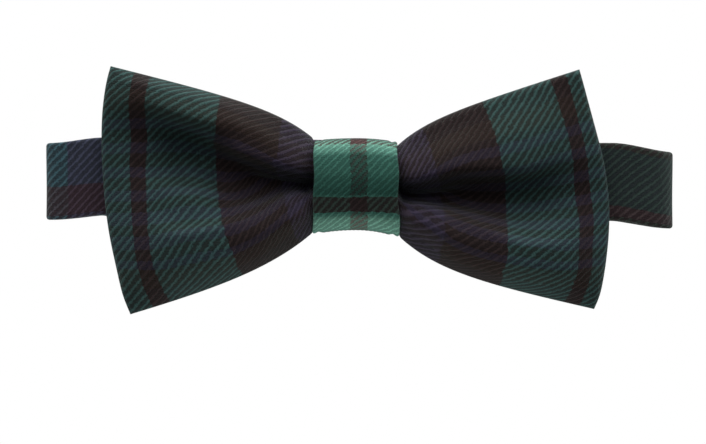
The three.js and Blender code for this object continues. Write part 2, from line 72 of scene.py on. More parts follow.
def flowing(at, stations, values):
    """Values between stations. The slope at each station is the harmonic mean of its two sides."""
    at = np.asarray(at, float)
    stations = np.asarray(stations, float)
    values = np.asarray(values, float)
    spread = (-1,) + (1,) * (values.ndim - 1)
    gaps = np.diff(stations).reshape(spread)
    rises = np.diff(values, axis=0) / gaps
    together = rises[:-1] * rises[1:]
    total = rises[:-1] + rises[1:]
    middle = np.where(together > 0, 2 * together / np.where(total == 0, 1, total), 0.0)
    slopes = np.concatenate([rises[:1], middle, rises[-1:]])
    index = np.clip(np.searchsorted(stations, at, "right") - 1, 0, len(stations) - 2)
    gap = gaps[index]
    t = ((at - stations[index]).reshape(spread)) / gap
    first = values[index] * (1 + 2 * t) * (1 - t) ** 2 + slopes[index] * gap * t * (1 - t) ** 2
    second = values[index + 1] * t * t * (3 - 2 * t) + slopes[index + 1] * gap * t * t * (t - 1)
    return first + second


def along(points, axis=0):
    """Distance walked along rows of points, from the first."""
    steps = np.linalg.norm(np.diff(points, axis=axis), axis=-1)
    start = np.zeros_like(np.take(steps, [0], axis=axis))
    return np.concatenate([start, np.cumsum(steps, axis=axis)], axis=axis)


def heading(line):
    """The direction of travel at each point of a line, one unit long."""
    ahead = np.gradient(line, axis=0)
    return ahead / np.linalg.norm(ahead, axis=1, keepdims=True)


def beside(line):
    """The direction a quarter turn to the right of travel in a plane: (a, b) becomes (b, -a)."""
    ahead = heading(line)
    return np.stack([ahead[:, 1], -ahead[:, 0]], axis=-1)


def tube_faces(rows, around):
    """Quads that join each row's ring of points to the next row's."""
    row = np.arange(rows - 1)[:, None] * around
    one = np.arange(around)[None, :]
    two = (one + 1) % around
    quads = np.stack([row + one, row + two, row + around + two, row + around + one], axis=-1)
    return quads.reshape(-1, 4)


def mesh_piece(name, points, loops, sizes, coords, material, smooth_shaded=True):
    """A mesh from whole arrays: points in millimetres, face corners, corners per face, and the
    cloth coordinates of each corner."""
    mesh = bpy.data.meshes.new(name)
    mesh.vertices.add(len(points))
    mesh.vertices.foreach_set("co", (np.asarray(points) * MM).astype(np.float32).ravel())
    mesh.loops.add(len(loops))
    mesh.loops.foreach_set("vertex_index", np.asarray(loops, np.int32))
    mesh.polygons.add(len(sizes))
    starts = np.concatenate([[0], np.cumsum(sizes)[:-1]])
    mesh.polygons.foreach_set("loop_start", starts.astype(np.int32))
    mesh.polygons.foreach_set("loop_total", np.asarray(sizes, np.int32))
    mesh.update(calc_edges=True)
    layer = mesh.uv_layers.new(name="cloth")
    layer.data.foreach_set("uv", np.asarray(coords, np.float32).ravel())
    mesh.validate(verbose=False)
    if smooth_shaded:
        mesh.polygons.foreach_set("use_smooth", np.ones(len(mesh.polygons), bool))
    mesh.materials.append(material)
    obj = bpy.data.objects.new(name, mesh)
    bpy.context.scene.collection.objects.link(obj)
    return obj


def tube_piece(name, rings, u, v, material, flip=False):
    """A closed tube from rings of shape (rows, around, 3). The cloth coordinates u and v have one
    more column than there are points round, so the seam keeps its own values."""
    rows, around = rings.shape[:2]
    quads = tube_faces(rows, around)
    columns = np.arange(around)[None, :] + np.zeros((rows - 1, 1), int)
    lines = np.arange(rows - 1)[:, None] + np.zeros((1, around), int)
    c = np.stack([columns, columns + 1, columns + 1, columns], axis=-1).reshape(-1)
    r = np.stack([lines, lines, lines + 1, lines + 1], axis=-1).reshape(-1)
    coords = np.stack([u[r, c], v[r, c]], axis=-1)
    first = np.arange(around)[::-1]
    last = (rows - 1) * around + np.arange(around)
    cap_u = np.concatenate([u[0, :-1][::-1], u[-1, :-1]])
    cap_v = np.concatenate([v[0, :-1][::-1], v[-1, :-1]])
    loops = np.concatenate([quads.reshape(-1), first, last])
    sizes = np.concatenate([np.full(len(quads), 4), [around, around]])
    coords = np.concatenate([coords, np.stack([cap_u, cap_v], axis=-1)])
    points = rings.reshape(-1, 3)
    if flip:
        ends = np.cumsum(sizes)
        starts = ends - sizes
        order = np.concatenate([np.arange(e - 1, s - 1, -1) for s, e in zip(starts[-2:], ends[-2:])])
        quad_order = np.arange(len(quads) * 4).reshape(-1, 4)[:, ::-1].reshape(-1)
        order = np.concatenate([quad_order, order])
        loops = loops[order]
        coords = coords[order]
    return mesh_piece(name, points, loops, sizes, coords, material)


test_path = np.array([[0.0, 0.0], [3.0, 4.0], [3.0, 10.0]])
print("walked along a bent line of 5 and 6 mm", along(test_path).tolist())

# %% [markdown]
# ## Wool twill
# The tartan is a 2/2 twill. Each warp thread passes over two weft threads and under two, one
# thread further along each time, so the floats make diagonal ribs. The shader works in thread
# counts from the cloth coordinates: it picks the warp's colour or the weft's from the stripe
# tables, rounds each rib, and lays a fine fuzz over it.

# %% Colours, and one way to add a node


def colour(code):
    """A hex sRGB colour as linear red, green, blue and a full alpha."""
    parts = [int(code[i:i + 2], 16) / 255 for i in (1, 3, 5)]
    linear = [p / 12.92 if p <= 0.04045 else ((p + 0.055) / 1.055) ** 2.4 for p in parts]
    return (*linear, 1.0)


def add(tree, kind, inputs=(), out=0, **settings):
    """Add one shader node: set its options, then link or set its inputs, which come in order or
    by name. It gives back one output, and that output's .node is the node."""
    node = tree.nodes.new("ShaderNode" + kind)
    for key, value in settings.items():
        setattr(node, key, value)
    pairs = inputs.items() if isinstance(inputs, dict) else enumerate(inputs)
    for key, value in pairs:
        if isinstance(value, bpy.types.NodeSocket):
            tree.links.new(value, node.inputs[key])
        else:
            node.inputs[key].default_value = value
    return node.outputs[out] if node.outputs else node


def new_material(name):
    """An empty node material, its tree and its Principled shader."""
    material = bpy.data.materials.new(name)
    material.use_nodes = True
    tree = material.node_tree
    tree.nodes.clear()
    surface = add(tree, "BsdfPrincipled")
    add(tree, "OutputMaterial", (surface,))
    return material, tree, surface.node


print("green yarn in linear light", [round(part, 3) for part in colour("#3a5e5b")[:3]])

# %% Where the threads lie
WANDERS = ((0.09, 1.0, 0.5, 0.7), (1.25, 3.0, 0.7, 1.1))  # noise scale, detail, roughness, reach in mm


def loosened(tree, place):
    """Cloth coordinates that wander as soft yarn does: place plus each noise, centred on nought,
    times its reach."""
    moved = place
    for scale, detail, rough, reach in WANDERS:
        look = {"Vector": place, "Scale": scale, "Detail": detail, "Roughness": rough}
        noise = add(tree, "TexNoise", look, out="Color")
        centred = add(tree, "VectorMath", (noise, (0.5, 0.5, 0.5)), operation="SUBTRACT")
        shift = add(tree, "VectorMath", {0: centred, "Scale": reach}, operation="SCALE")
        moved = add(tree, "VectorMath", (moved, shift), operation="ADD")
    return moved


def weave(tree, u, v, pitch):
    """A 2/2 twill. A thread's number is its coordinate over the pitch, rounded down, and the warp
    is on top where warp number less weft number, modulo 4, is 0 or 1. Ribs are sine waves along
    that diagonal, and each thread bulges as a sine across its own width."""
    across = add(tree, "Math", (u, pitch), operation="DIVIDE")
    up = add(tree, "Math", (v, pitch), operation="DIVIDE")
    column = add(tree, "Math", (across,), operation="FLOOR")
    row = add(tree, "Math", (up,), operation="FLOOR")
    step = add(tree, "Math", (column, row), operation="SUBTRACT")
    step = add(tree, "Math", (step, 4.0), operation="FLOORED_MODULO")
    over = add(tree, "Math", (step, 1.5), operation="LESS_THAN")
    slant = add(tree, "Math", (across, up), operation="SUBTRACT")
    phase = add(tree, "Math", (slant, math.pi / 2, math.pi / 4), operation="MULTIPLY_ADD")
    wave = add(tree, "Math", (phase,), operation="SINE")
    float_rib = add(tree, "Math", (wave,), operation="ABSOLUTE")
    warp_rib = add(tree, "Math", (wave, 0.5, 0.5), operation="MULTIPLY_ADD")
    rib = add(tree, "Mix", {0: 0.6, 2: float_rib, 3: warp_rib}, data_type="FLOAT")
    bulges = []
    for threads in (up, across):
        turn = add(tree, "Math", (threads, math.pi), operation="MULTIPLY")
        turn = add(tree, "Math", (turn,), operation="SINE")
        bulges.append(add(tree, "Math", (turn,), operation="ABSOLUTE"))
    bulge = add(tree, "Mix", {0: over, 2: bulges[0], 3: bulges[1]}, data_type="FLOAT")
    return column, row, over, rib, bulge


print("yarn wanders at", len(WANDERS), "scales, by", [reach for *_, reach in WANDERS], "mm")

# %% [markdown]
# ## Yarn colours
# A tartan's yarns change colour at set counts of threads. Each table below lists where a colour
# starts, in millimetres from the pattern's centre, and the pattern is mirrored about that centre.
# The tables across and along the cloth differ, because they are given one by one and not taken from a known
# tartan. Some of both yarns' colour shows at every crossing, which softens the check.

# %% Colour by stripe
# How much redder the painted highlight in the knot's gain table makes the cloth.
PAINTED_LIGHT_WARMTH = 0.22
TOP_GAIN = 6.0  # a colour ramp holds no more than 1, so gains are stored over this


def stripes(tree, place, reach, table):
    """A thread colour that changes at set places: a ramp with hard steps from 0 to reach."""
    share = add(tree, "Math", (place, reach), operation="DIVIDE")
    ramp = add(tree, "ValToRGB", (share,))
    ramp.node.color_ramp.interpolation = "CONSTANT"
    elements = ramp.node.color_ramp.elements
    while len(elements) > 1:
        elements.remove(elements[-1])
    elements[0].position = 0.0
    elements[0].color = colour(table[0][1])
    for start, code in table[1:]:
        step = elements.new(start / reach)
        step.color = colour(code)
    return ramp


def from_centre(tree, thread, pitch, centre):
    """How far a thread lies from the pattern's centre line."""
    at = add(tree, "Math", (thread, pitch), operation="MULTIPLY")
    off = add(tree, "Math", (at, centre), operation="SUBTRACT")
    return add(tree, "Math", (off,), operation="ABSOLUTE")


def alternating(tree, weft_colour, row, pitch, off, fine):
    """Two weft colours that take turns within a set reach of the centre."""
    reach, period, one, other = fine
    at = add(tree, "Math", (row, pitch), operation="MULTIPLY")
    turn = add(tree, "Math", (at, period), operation="FLOORED_MODULO")
    first = add(tree, "Math", (turn, period / 2), operation="LESS_THAN")
    pair = add(tree, "Mix", {0: first, 6: colour(one), 7: colour(other)}, out=2, data_type="RGBA")
    within = add(tree, "Math", (off, reach), operation="LESS_THAN")
    return add(tree, "Mix", {0: within, 6: weft_colour, 7: pair}, out=2, data_type="RGBA")


def painted_light_gain(tree, thread, v, painted_light):
    """The thread colour times a gain that eases from place to place up the cloth: painted highlight where
    the gain is over one, painted shade where it is under. The paler it is, the warmer: red gains more by a
    set share for each time over."""
    low, high, places = painted_light
    off = add(tree, "Math", (v, low), operation="SUBTRACT")
    share = add(tree, "Math", (off, high - low), operation="DIVIDE")
    ramp = add(tree, "ValToRGB", (share,))
    ramp.node.color_ramp.interpolation = "EASE"
    for _ in places[2:]:
        ramp.node.color_ramp.elements.new(0.5)
    for point, (at, gain) in zip(ramp.node.color_ramp.elements, places):
        pale = 1 + PAINTED_LIGHT_WARMTH * (gain - 1)
        point.position = (at - low) / (high - low)
        point.color = (gain * pale / TOP_GAIN, gain / TOP_GAIN, gain / TOP_GAIN, 1.0)
    gained = add(tree, "VectorMath", (thread, ramp), operation="MULTIPLY")
    return add(tree, "VectorMath", {0: gained, "Scale": TOP_GAIN}, operation="SCALE")


print("paler cloth gains red by", PAINTED_LIGHT_WARMTH, "for each time over")

# %% The wool's surface
RELIEF = 0.00022  # how far the ribs stand, in metres


def wool_surface(tree, shader, place, thread, rib, bulge, cut):
    """Colour times shade and mottle: painted shade in the grooves between ribs and at the sides of each
    thread, added to fine flecks and slow clouds of the yarn's own tone. The same ribs, bulges and flecks
    raise the surface. Wool is matt, with a soft sheen."""
    look = {"Vector": place, "Scale": 2.6, "Detail": 4.0, "Roughness": 0.75}
    heather = add(tree, "TexNoise", look)
    cloud = add(tree, "TexNoise", {"Vector": place, "Scale": 0.07, "Detail": 2.0})
    # Painted shade: the grooves between ribs and the sides of each thread are darkened in the colour.
    groove_shade = add(tree, "Math", (rib, cut, 0.6 * (1.1 - cut)), operation="MULTIPLY_ADD")
    groove_shade = add(tree, "Math", (bulge, 0.14, groove_shade), operation="MULTIPLY_ADD")
    fleck = add(tree, "Math", (heather, 1.5, -0.5), operation="MULTIPLY_ADD")
    shade = add(tree, "Math", (groove_shade, fleck), operation="ADD")
    shade = add(tree, "Math", (shade, 0.05), operation="MAXIMUM")
    shade = add(tree, "Math", (cloud, 0.16, shade), operation="MULTIPLY_ADD")
    tinted = add(tree, "Mix", {0: 1.0, 6: thread, 7: shade}, out=2, data_type="RGBA",
                 blend_type="MULTIPLY")
    height = add(tree, "Math", (bulge, 0.35, rib), operation="MULTIPLY_ADD")
    height = add(tree, "Math", (heather, 0.5, height), operation="MULTIPLY_ADD")
    bump = add(tree, "Bump", {"Height": height, "Distance": RELIEF, "Strength": 0.9})
    tree.links.new(tinted, shader.inputs["Base Color"])
    tree.links.new(bump, shader.inputs["Normal"])
    shader.inputs["Roughness"].default_value = 0.88
    shader.inputs["IOR"].default_value = 1.5
    shader.inputs["Specular IOR Level"].default_value = 0.12
    shader.inputs["Sheen Weight"].default_value = 0.34
    shader.inputs["Sheen Roughness"].default_value = 0.35
    shader.inputs["Sheen Tint"].default_value = colour("#b8cfc8")


print("ribs stand", RELIEF / MM, "mm")

# %% A twill cloth
MINGLE = 0.65  # both yarns' share of the colour at a crossing
# How dark the painted shade in the rib grooves is.
RIB_SHADE = 1.3
SOLID_COVER = 0.7  # how well the weft covers where it is packed


def twill(name, warp, weft, pitch, centre=(0.0, 0.0), fine=None, mingle=MINGLE, painted_light=None,
          solid=None, cut=RIB_SHADE):
    """A tartan twill on cloth coordinates in millimetres. warp and weft are (reach, stripes), and fine is
    (reach, repeat, two colours). mingle is how much both yarns show everywhere, the gain table after it is
    painted highlight and painted shade that make the cloth paler or darker in places, solid is where the
    weft covers, and cut is how dark the painted shade in the rib grooves looks."""
    material, tree, shader = new_material(name)
    place = add(tree, "UVMap", uv_map="cloth")
    moved = loosened(tree, place)
    u = add(tree, "SeparateXYZ", (moved,), out=0)
    v = u.node.outputs[1]
    column, row, over, rib, bulge = weave(tree, u, v, pitch)
    warp_off = from_centre(tree, column, pitch, centre[0])
    weft_off = from_centre(tree, row, pitch, centre[1])
    warp_colour = stripes(tree, warp_off, *warp)
    weft_colour = stripes(tree, weft_off, *weft)
    if fine:
        weft_colour = alternating(tree, weft_colour, row, pitch, weft_off, fine)
    yarns = {6: weft_colour, 7: warp_colour}
    top = add(tree, "Mix", {0: over, **yarns}, out=2, data_type="RGBA")
    both = add(tree, "Mix", {0: 0.5, **yarns}, out=2, data_type="RGBA")
    thread = add(tree, "Mix", {0: mingle, 6: top, 7: both}, out=2, data_type="RGBA")
    if solid:
        low, high = solid
        reach = ((low + high) / 2, (high - low) / 2)
        inside = add(tree, "Math", (weft_off, *reach), operation="COMPARE")
        cover = add(tree, "Math", (inside, SOLID_COVER), operation="MULTIPLY")
        thread = add(tree, "Mix", {0: cover, 6: thread, 7: weft_colour}, out=2, data_type="RGBA")
    # Painted light: a gain up the cloth paints highlight and shade into the thread colour.
    if painted_light:
        thread = painted_light_gain(tree, thread, v, painted_light)
    wool_surface(tree, shader, place, thread, rib, bulge, cut)
    return material


print("both yarns' share everywhere", MINGLE)

# %% [markdown]
# ## The three cloths
# The bow and the knot are taken as one wool tartan, with the knot's strip cut where green crosses green and
# one black line runs each way. The band is the same weave with yarns closer in colour, set paler than the
# bow's: partly its own yarns, partly painted light for the front light that the lamps don't give it.
# Stripe places, thread pitch and colours are all given one by one. So are the knot's tones, which make its
# cloth paler and darker in bands up its length. They stand in for light and shade that the shape and lamps
# alone don't give, and nothing says that the real cloth is coloured so.

# %% Tartan materials
GREEN = "#3a5e5b"
NAVY = "#3e3749"
BLACK = "#322828"
BROWN = "#3a2e28"
KNOT_GREEN = "#427366"
# Band colours: its yarns' mixes, set paler than the bow's yarns as painted light for the front light that
# the lamps don't give the band.
TEAL = "#49707a"  # green yarn over navy
DUSK = "#50536b"
MAROON = "#3f3a44"
MOSS = "#36493f"  # green yarn over black
RUST = "#4d3a3f"
SLATE = "#40444c"
bow_cloth = twill(
    "bow_wool_twill",
    (80.0, [(0, NAVY), (21.0, BLACK), (36.3, GREEN), (52.7, BLACK), (56.5, GREEN)]),
    (40.0, [(0, BLACK), (19.0, BROWN), (24.0, BLACK)]),
    0.52, centre=(0.0, 0.0), fine=(19.0, 5.7, NAVY, BLACK),
)
knot_cloth = twill(
    "knot_wool_twill",
    (20.0, [(0, BLACK), (1.9, KNOT_GREEN)]),
    (90.0, [(0, BLACK), (24.9, KNOT_GREEN), (38.2, BLACK), (41.8, KNOT_GREEN)]),
    0.45, centre=(0.5, 40.0), solid=(38.2, 41.8), mingle=0.42, cut=1.05,
    # Painted light: the pale bands at the top and bottom folds are painted highlight, the darker band
    # across the front's middle is painted shade.
    painted_light=(-20.0, 30.0, [(-12.0, 1.0), (-6.0, 2.9), (-4.2, 2.9), (-2.0, 1.1), (1.4, 1.0),
                         (2.8, 0.56), (5.4, 0.7), (8.0, 1.0), (11.4, 1.0), (13.6, 2.1),
                         (15.2, 2.6), (20.0, 1.0)]),
)
# Painted light: the band's colours are set paler to stand in for front light.
band_cloth = twill(
    "band_wool_twill",
    (600.0, [(0, TEAL), (22, DUSK), (40, TEAL), (58, MAROON), (64, TEAL), (92, DUSK), (108, TEAL),
             (131, DUSK), (139, TEAL), (150, DUSK), (186, MAROON), (214, DUSK), (232, MOSS),
             (284, MAROON), (290, MOSS), (316, DUSK), (334, MOSS), (360, MAROON), (366, MOSS)]),
    (60.0, [(0, RUST), (4.4, SLATE), (17.6, RUST)]),
    0.50, centre=(-200.0, -9.2), solid=(0.0, 4.4),
)
print("cloth materials", [cloth.name for cloth in (bow_cloth, knot_cloth, band_cloth)])

# %% [markdown]
# ## The bow
# The real bow is a bag of twill, turned right side out, pinched in the middle so that one deep
# fold runs out from the knot across each wing. Each wing is set out by sections across it. A
# section lists points from the bottom edge to the top edge: the height above the mid line, and
# how far forward the cloth stands. The edges roll round to a flatter back.

# %% Wing outlines and sections
LEFT = {
    "side": -1, "top": (11.5, 5.2, 8.8, 0.25), "bottom": (10.6, 7.7, 12.9, 0.28),
    "corner_top": 58.3, "corner_bottom": 53.6, "pull": 64.3,
    "stripe": ((-31.9, 20.9), (-33.3, 14.6), (-31.2, -7.7), (-28.4, -17.5)), "edge_u": (61.4, 63.5, 62.2),
    "sections": {
        0.0: [(-10, 7.8), (-8, 10.4), (-6, 12), (-4, 12), (-2.5, 10), (-1, 6),
              (0.2, 5.6), (2, 8.5), (4.5, 11.8), (7, 11.6), (9, 10.2), (11, 7.8)],
        9.0: [(-10.2, 7.8), (-8, 10.6), (-6, 12.2), (-4, 12.2), (-2.4, 10.4), (-1.2, 6.2),
              (-0.2, 5.8), (1.6, 8.6), (4, 12), (7, 11.8), (9, 10.4), (11.2, 7.8)],
        15.0: [(-13.4, 7.8), (-11.0, 10.8), (-7.4, 13.8), (-5, 13.2), (-2.8, 12.0), (-0.9, 9.0),
               (0.3, 7.2), (1.9, 9.2), (4.6, 13.0), (8, 12.0), (11.2, 10.0), (14.1, 7.8)],
        25.0: [(-20.1, 7.8), (-17.2, 12.6), (-12.8, 15.4), (-9.4, 14.6), (-6.4, 12.4), (-3.0, 8.8),
               (1.0, 6.9), (3.6, 8.6), (7.3, 13.2), (12, 12.7), (15.6, 10.8), (18.8, 7.8)],
        41.0: [(-26.4, 7.8), (-23.4, 12.7), (-18, 15.9), (-13, 16.0), (-9, 13.5), (-3, 11.9),
               (3.4, 6.6), (8.6, 5.2), (13.0, 8.6), (17.0, 13.4), (21, 12.0), (24.2, 8.4)],
        52.0: [(-30, 7.8), (-26, 11.4), (-20, 13.8), (-14, 13.4), (-8, 12.0), (-1.5, 10.6),
               (5, 8.8), (11, 8.2), (16, 9.8), (20.5, 11.6), (24, 11.0), (27, 8.0)],
        61.0: [(-32, 7.8), (-27, 9.0), (-20, 9.8), (-14, 9.8), (-8, 9.2), (-1.5, 8.6),
               (5, 8.2), (11, 8.2), (16, 8.6), (20.5, 9.0), (25, 8.8), (29, 7.8)],
    },
}
RIGHT = {
    "side": 1, "top": (10.0, 4.2, 7.1, 0.32), "bottom": (11.5, 7.3, 9.8, 0.22),
    "corner_top": 53.1, "corner_bottom": 56.6, "pull": 65.2,
    "stripe": ((29.9, 19.4), (33.0, 7.6), (35.3, -4.3), (35.3, -12.5), (33.4, -22.5)),
    "edge_u": (60.9, 61.9, 60.5),
    "sections": {
        0.0: [(-10, 7.8), (-8, 10.4), (-6, 12), (-4, 12), (-2.5, 10), (-1, 6),
              (0.2, 5.6), (2, 8.5), (4.5, 11.8), (7, 11.6), (9, 10.2), (11, 7.8)],
        9.0: [(-11.4, 7.8), (-9, 10.6), (-7, 12.2), (-5, 12.2), (-3.4, 10.4), (-2.2, 6.4),
              (-1.2, 5.8), (0.6, 8.6), (3, 12), (6, 11.8), (8, 10.4), (9.9, 7.8)],
        15.0: [(-14.9, 7.8), (-12.0, 10.9), (-8.2, 13.8), (-5.8, 13.0), (-4, 11.4), (-2.8, 8.4),
               (-1.8, 7.1), (0.1, 9.0), (2.8, 12.8), (6, 11.9), (9.6, 10.0), (13.3, 7.8)],
        25.0: [(-20.3, 7.8), (-17.4, 12.8), (-12.6, 15.6), (-9, 14.6), (-6.4, 12.2), (-3.8, 8.2),
               (-1.4, 6.9), (1.4, 9.5), (5.0, 13.5), (9, 12.3), (14, 9.6), (18.3, 7.2)],
        41.0: [(-25.2, 7.8), (-22.2, 12.7), (-18, 15.4), (-14.4, 15.5), (-11, 13.1), (-6.6, 9.2),
               (-3, 7.6), (0.6, 8.6), (5.6, 13.2), (11, 12.6), (18, 10.2), (23.8, 7.2)],
        52.0: [(-27.5, 7.8), (-24, 11.6), (-19, 13.8), (-14, 13.4), (-10, 12.0), (-5.5, 10.4),
               (-1, 9.6), (3.6, 10.4), (8.6, 11.8), (14, 11.4), (21, 9.8), (27, 7.8)],
        61.0: [(-30, 7.8), (-26, 9.2), (-20, 9.8), (-14, 9.6), (-9, 9.0), (-4, 8.7),
               (0, 8.6), (5, 8.8), (10, 9.2), (15, 9.2), (22, 8.8), (30, 7.8)],
    },
}
CLOTH_HEIGHT = 62.0  # the twill of one wing, edge to edge, before it is pinched
STRIPE_AT = 36.3  # cloth from the bow's middle to where the dark stripe meets the green
EDGE_ROLL = 1.6  # radius of the rolled edges
BACK_PLANE = 4.6  # how far forward the bow's flat back stands
WAIST_TOP = 9.8  # where the knot squeezes the bow's top edge to
WAIST_BOTTOM = 8.5  # and its bottom edge, below the middle
LOBE_SWELL = 0.35  # how much fuller the lobes stand than their set sections
SECTION_REACH = 61.0  # the outermost section's distance from the middle
KNOT_EDGE = 10.0  # where a wing comes out from under the knot


def edge_height(edge, distance, waist):
    """A wing edge's height: the knot's squeeze, a quick rise that dies away, then a steady slope."""
    start, rise, reach, slope = edge
    past = np.maximum(distance - KNOT_EDGE, 0.0)
    inside = waist + (start - waist) * smooth((distance - 8.9) / 1.7)
    return inside + rise * (1 - np.exp(-past / reach)) + slope * past


def roll(distance):
    """A quarter circle: how far open a rolled edge is, from 0 at the edge to 1 past its radius."""
    inside = np.clip(1 - distance / EDGE_ROLL, 0.0, 1.0)
    return np.sqrt(1 - inside * inside)


def spaced(count, ends):
    """Places from 0 to 1 that crowd towards the ends by the given share."""
    even = np.linspace(0, 1, count)
    return even - ends * np.sin(2 * np.pi * even) / (2 * np.pi)


def wing(spec, out, rows):
    """One wing's front and back: for each distance out and each row up, where the cloth is."""
    far = spec["corner_bottom"] * (1 - rows) ** 2 + 2 * spec["pull"] * rows * (1 - rows)
    far = far + spec["corner_top"] * rows ** 2
    distance = out[:, None] * far[None, :]
    top = edge_height(spec["top"], out * far[-1], WAIST_TOP)
    bottom = -edge_height(spec["bottom"], out * far[0], WAIST_BOTTOM)
    stations = sorted(spec["sections"])
    table = np.array([spec["sections"][s] for s in stations], float)
    low, high = table[:, :1, 0], table[:, -1:, 0]
    table[:, :, 0] = (table[:, :, 0] - low) / (high - low)
    sections = flowing(out * SECTION_REACH, stations, table)
    control = np.linspace(0, 1, sections.shape[1])
    curve = flowing(rows, control, np.swapaxes(sections, 0, 1))
    share = curve[:, :, 0].T
    front = curve[:, :, 1].T
    full = LOBE_SWELL * smooth((out[:, None] * SECTION_REACH - 9.6) / 4.0)
    front = front + full * np.maximum(front - 9.0, 0.0)
    height = bottom[:, None] + share * (top - bottom)[:, None]
    edge = np.minimum(share, 1 - share) * (top - bottom)[:, None]
    outer = (1 - out[:, None]) * far[None, :]
    open_by = roll(edge) * roll(outer)
    follow = smooth((out[:, None] - 0.55) / 0.42)
    back = BACK_PLANE + (front - 2 * EDGE_ROLL - BACK_PLANE) * follow * 0.8
    middle = (front + back) / 2
    middle = np.where(front - back > 2 * EDGE_ROLL, front - EDGE_ROLL, middle)
    face = middle + (front - middle) * open_by
    rear = middle - (middle - back) * open_by
    x = spec["side"] * distance
    return x, height, face, rear


print("sections in each wing", len(LEFT["sections"]), len(RIGHT["sections"]))

# %% [markdown]
# ## Joining the wings into one bag
# Both wings are worked out as grids and joined at the middle, so that the bow is one closed bag as
# it is when sewn and turned. Rows crowd together at the rolled edges, where the surface turns most.
# Cloth coordinates are then laid on the grid, so the tartan bends with the folds.

# %% Make the bow
FINE = 0.42  # grid spacing in mm
near_edge = 1 - np.array([0.0, 0.02, 0.08, 0.2, 0.4, 0.7, 1.0, 1.3]) / 60.0
inner = np.linspace(0, near_edge[-1], int(60 / FINE))
out_places = np.concatenate([inner, near_edge[::-1][1:]])
row_places = spaced(118, 0.45)
back_places = spaced(60, 0.3)


def bow_ring(spec):
    """Rings of one wing, from the middle out: up the front and down the back."""
    x, z, front, _ = wing(spec, out_places, row_places)
    bx, bz, _, rear = wing(spec, out_places, back_places)
    face = np.stack([x, -front, z], axis=-1)
    back = np.stack([bx, -rear, bz], axis=-1)[:, ::-1]
    return face, back


left_front, left_back = bow_ring(LEFT)
right_front, right_back = bow_ring(RIGHT)
front_sheet = np.concatenate([left_front[::-1], right_front[1:]])
back_sheet = np.concatenate([left_back[::-1], right_back[1:]])


def settle(sheet, packed=0.0):
    """Ease the two wings into each other at the bow's middle, where the knot hides the change.
    Under the knot the pleat is squeezed shut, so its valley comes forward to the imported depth."""
    x = sheet[:, :, 0]
    left = np.interp(-9.0, x[:, 0], np.arange(len(x)))
    right = np.interp(9.0, x[:, 0], np.arange(len(x)))
    a, b = int(left), int(right)
    t = smooth((np.arange(a, b + 1) - a) / (b - a))[:, None, None]
    sheet[a:b + 1, :, 1:] = sheet[a, None, :, 1:] * (1 - t) + sheet[b, None, :, 1:] * t
    squeeze = smooth((8.6 - np.abs(x)) / 6.0) * smooth((6.2 - np.abs(sheet[:, :, 2])) / 2.5)
    sheet[:, :, 1] -= squeeze * np.maximum(packed + sheet[:, :, 1], 0.0)
    return sheet


front_sheet = settle(front_sheet, packed=13.2)
back_sheet = settle(back_sheet)


def cloth_rows(sheet):
    """Cloth coordinates of the front. v is the distance up the cloth: near the knot the rows keep
    their distance from both edges and the spare cloth is lost in the fold, and further out they
    spread evenly. u is the distance along the cloth: it is set at the outer edge and on the one
    stripe that divides the wing, and follows the cloth's own length between them."""
    walked = along(sheet, axis=1)
    total = walked[:, -1:]
    away = np.abs(sheet[:, :1, 0])
    rows = np.linspace(0, 1, sheet.shape[1])[None, :]
    ease = 1 + (CLOTH_HEIGHT / total - 1) * smooth((away - 19) / 12)
    spare = CLOTH_HEIGHT - total * ease
    width = 0.03 + 0.4 * smooth((away - 18) / 14)
    v = walked * ease - CLOTH_HEIGHT / 2 + spare * smooth((rows - 6.3 / 11.0) / width + 0.5)
    across = along(sheet, axis=0)
    middle = np.argmin(np.abs(sheet[:, sheet.shape[1] // 2, 0]))
    u = np.zeros_like(v)
    for spec, part in ((LEFT, slice(0, middle + 1)), (RIGHT, slice(middle, None))):
        stripe = np.array(spec["stripe"])
        x, z = sheet[part, :, 0], sheet[part, :, 2]
        line = np.polyval(np.polyfit(stripe[:, 1], stripe[:, 0], 2), z)
        gone = across[part] - across[middle]
        nearest = np.argmin(np.abs(x - line), axis=0)[None, :]
        at_line = np.take_along_axis(gone, nearest, axis=0)
        edge = gone[:1] if spec["side"] < 0 else gone[-1:]
        low, mid, high = spec["edge_u"]
        end = low * (1 - rows) * (1 - 2 * rows) + 4 * mid * rows * (1 - rows)
        end = end - high * rows * (1 - 2 * rows)
        stretch = (end - STRIPE_AT) / np.abs(edge - at_line)
        outside = np.abs(gone) > np.abs(at_line)
        past = (np.abs(gone) - np.abs(at_line)) * np.where(outside, stretch, 1.0)
        u[part] = spec["side"] * (STRIPE_AT + past)
    return u, v


u_front, v_front = cloth_rows(front_sheet)
walked_back = along(back_sheet, axis=1)
v_back = v_front[:, -1:] + walked_back[:, 1:-1]
u_mix = np.linspace(0, 1, back_sheet.shape[1] - 2)[None, :]
u_back = u_front[:, -1:] * (1 - u_mix) + u_front[:, :1] * u_mix
rings = np.concatenate([front_sheet, back_sheet[:, 1:-1]], axis=1)
u_all = np.concatenate([u_front, u_back, u_front[:, :1]], axis=1)
v_all = np.concatenate([v_front, v_back, v_front[:, -1:] + walked_back[:, -1:]], axis=1)
bow = tube_piece("bow_cloth", rings, u_all, v_all, bow_cloth, flip=True)
print("bow", rings.shape, "cloth along the wing end", round(float(along(front_sheet, 1)[5, -1]), 1))
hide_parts("bow_face_panel", "bow_back_panel")
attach(bow, "root")

# %% [markdown]
# ## Interfacing and binding
# A soft canvas inside the bag keeps the wings puffed. Turns of thread hold the pleats.

# %% Interfacing inside the bow
CANVAS = 0.3  # thickness


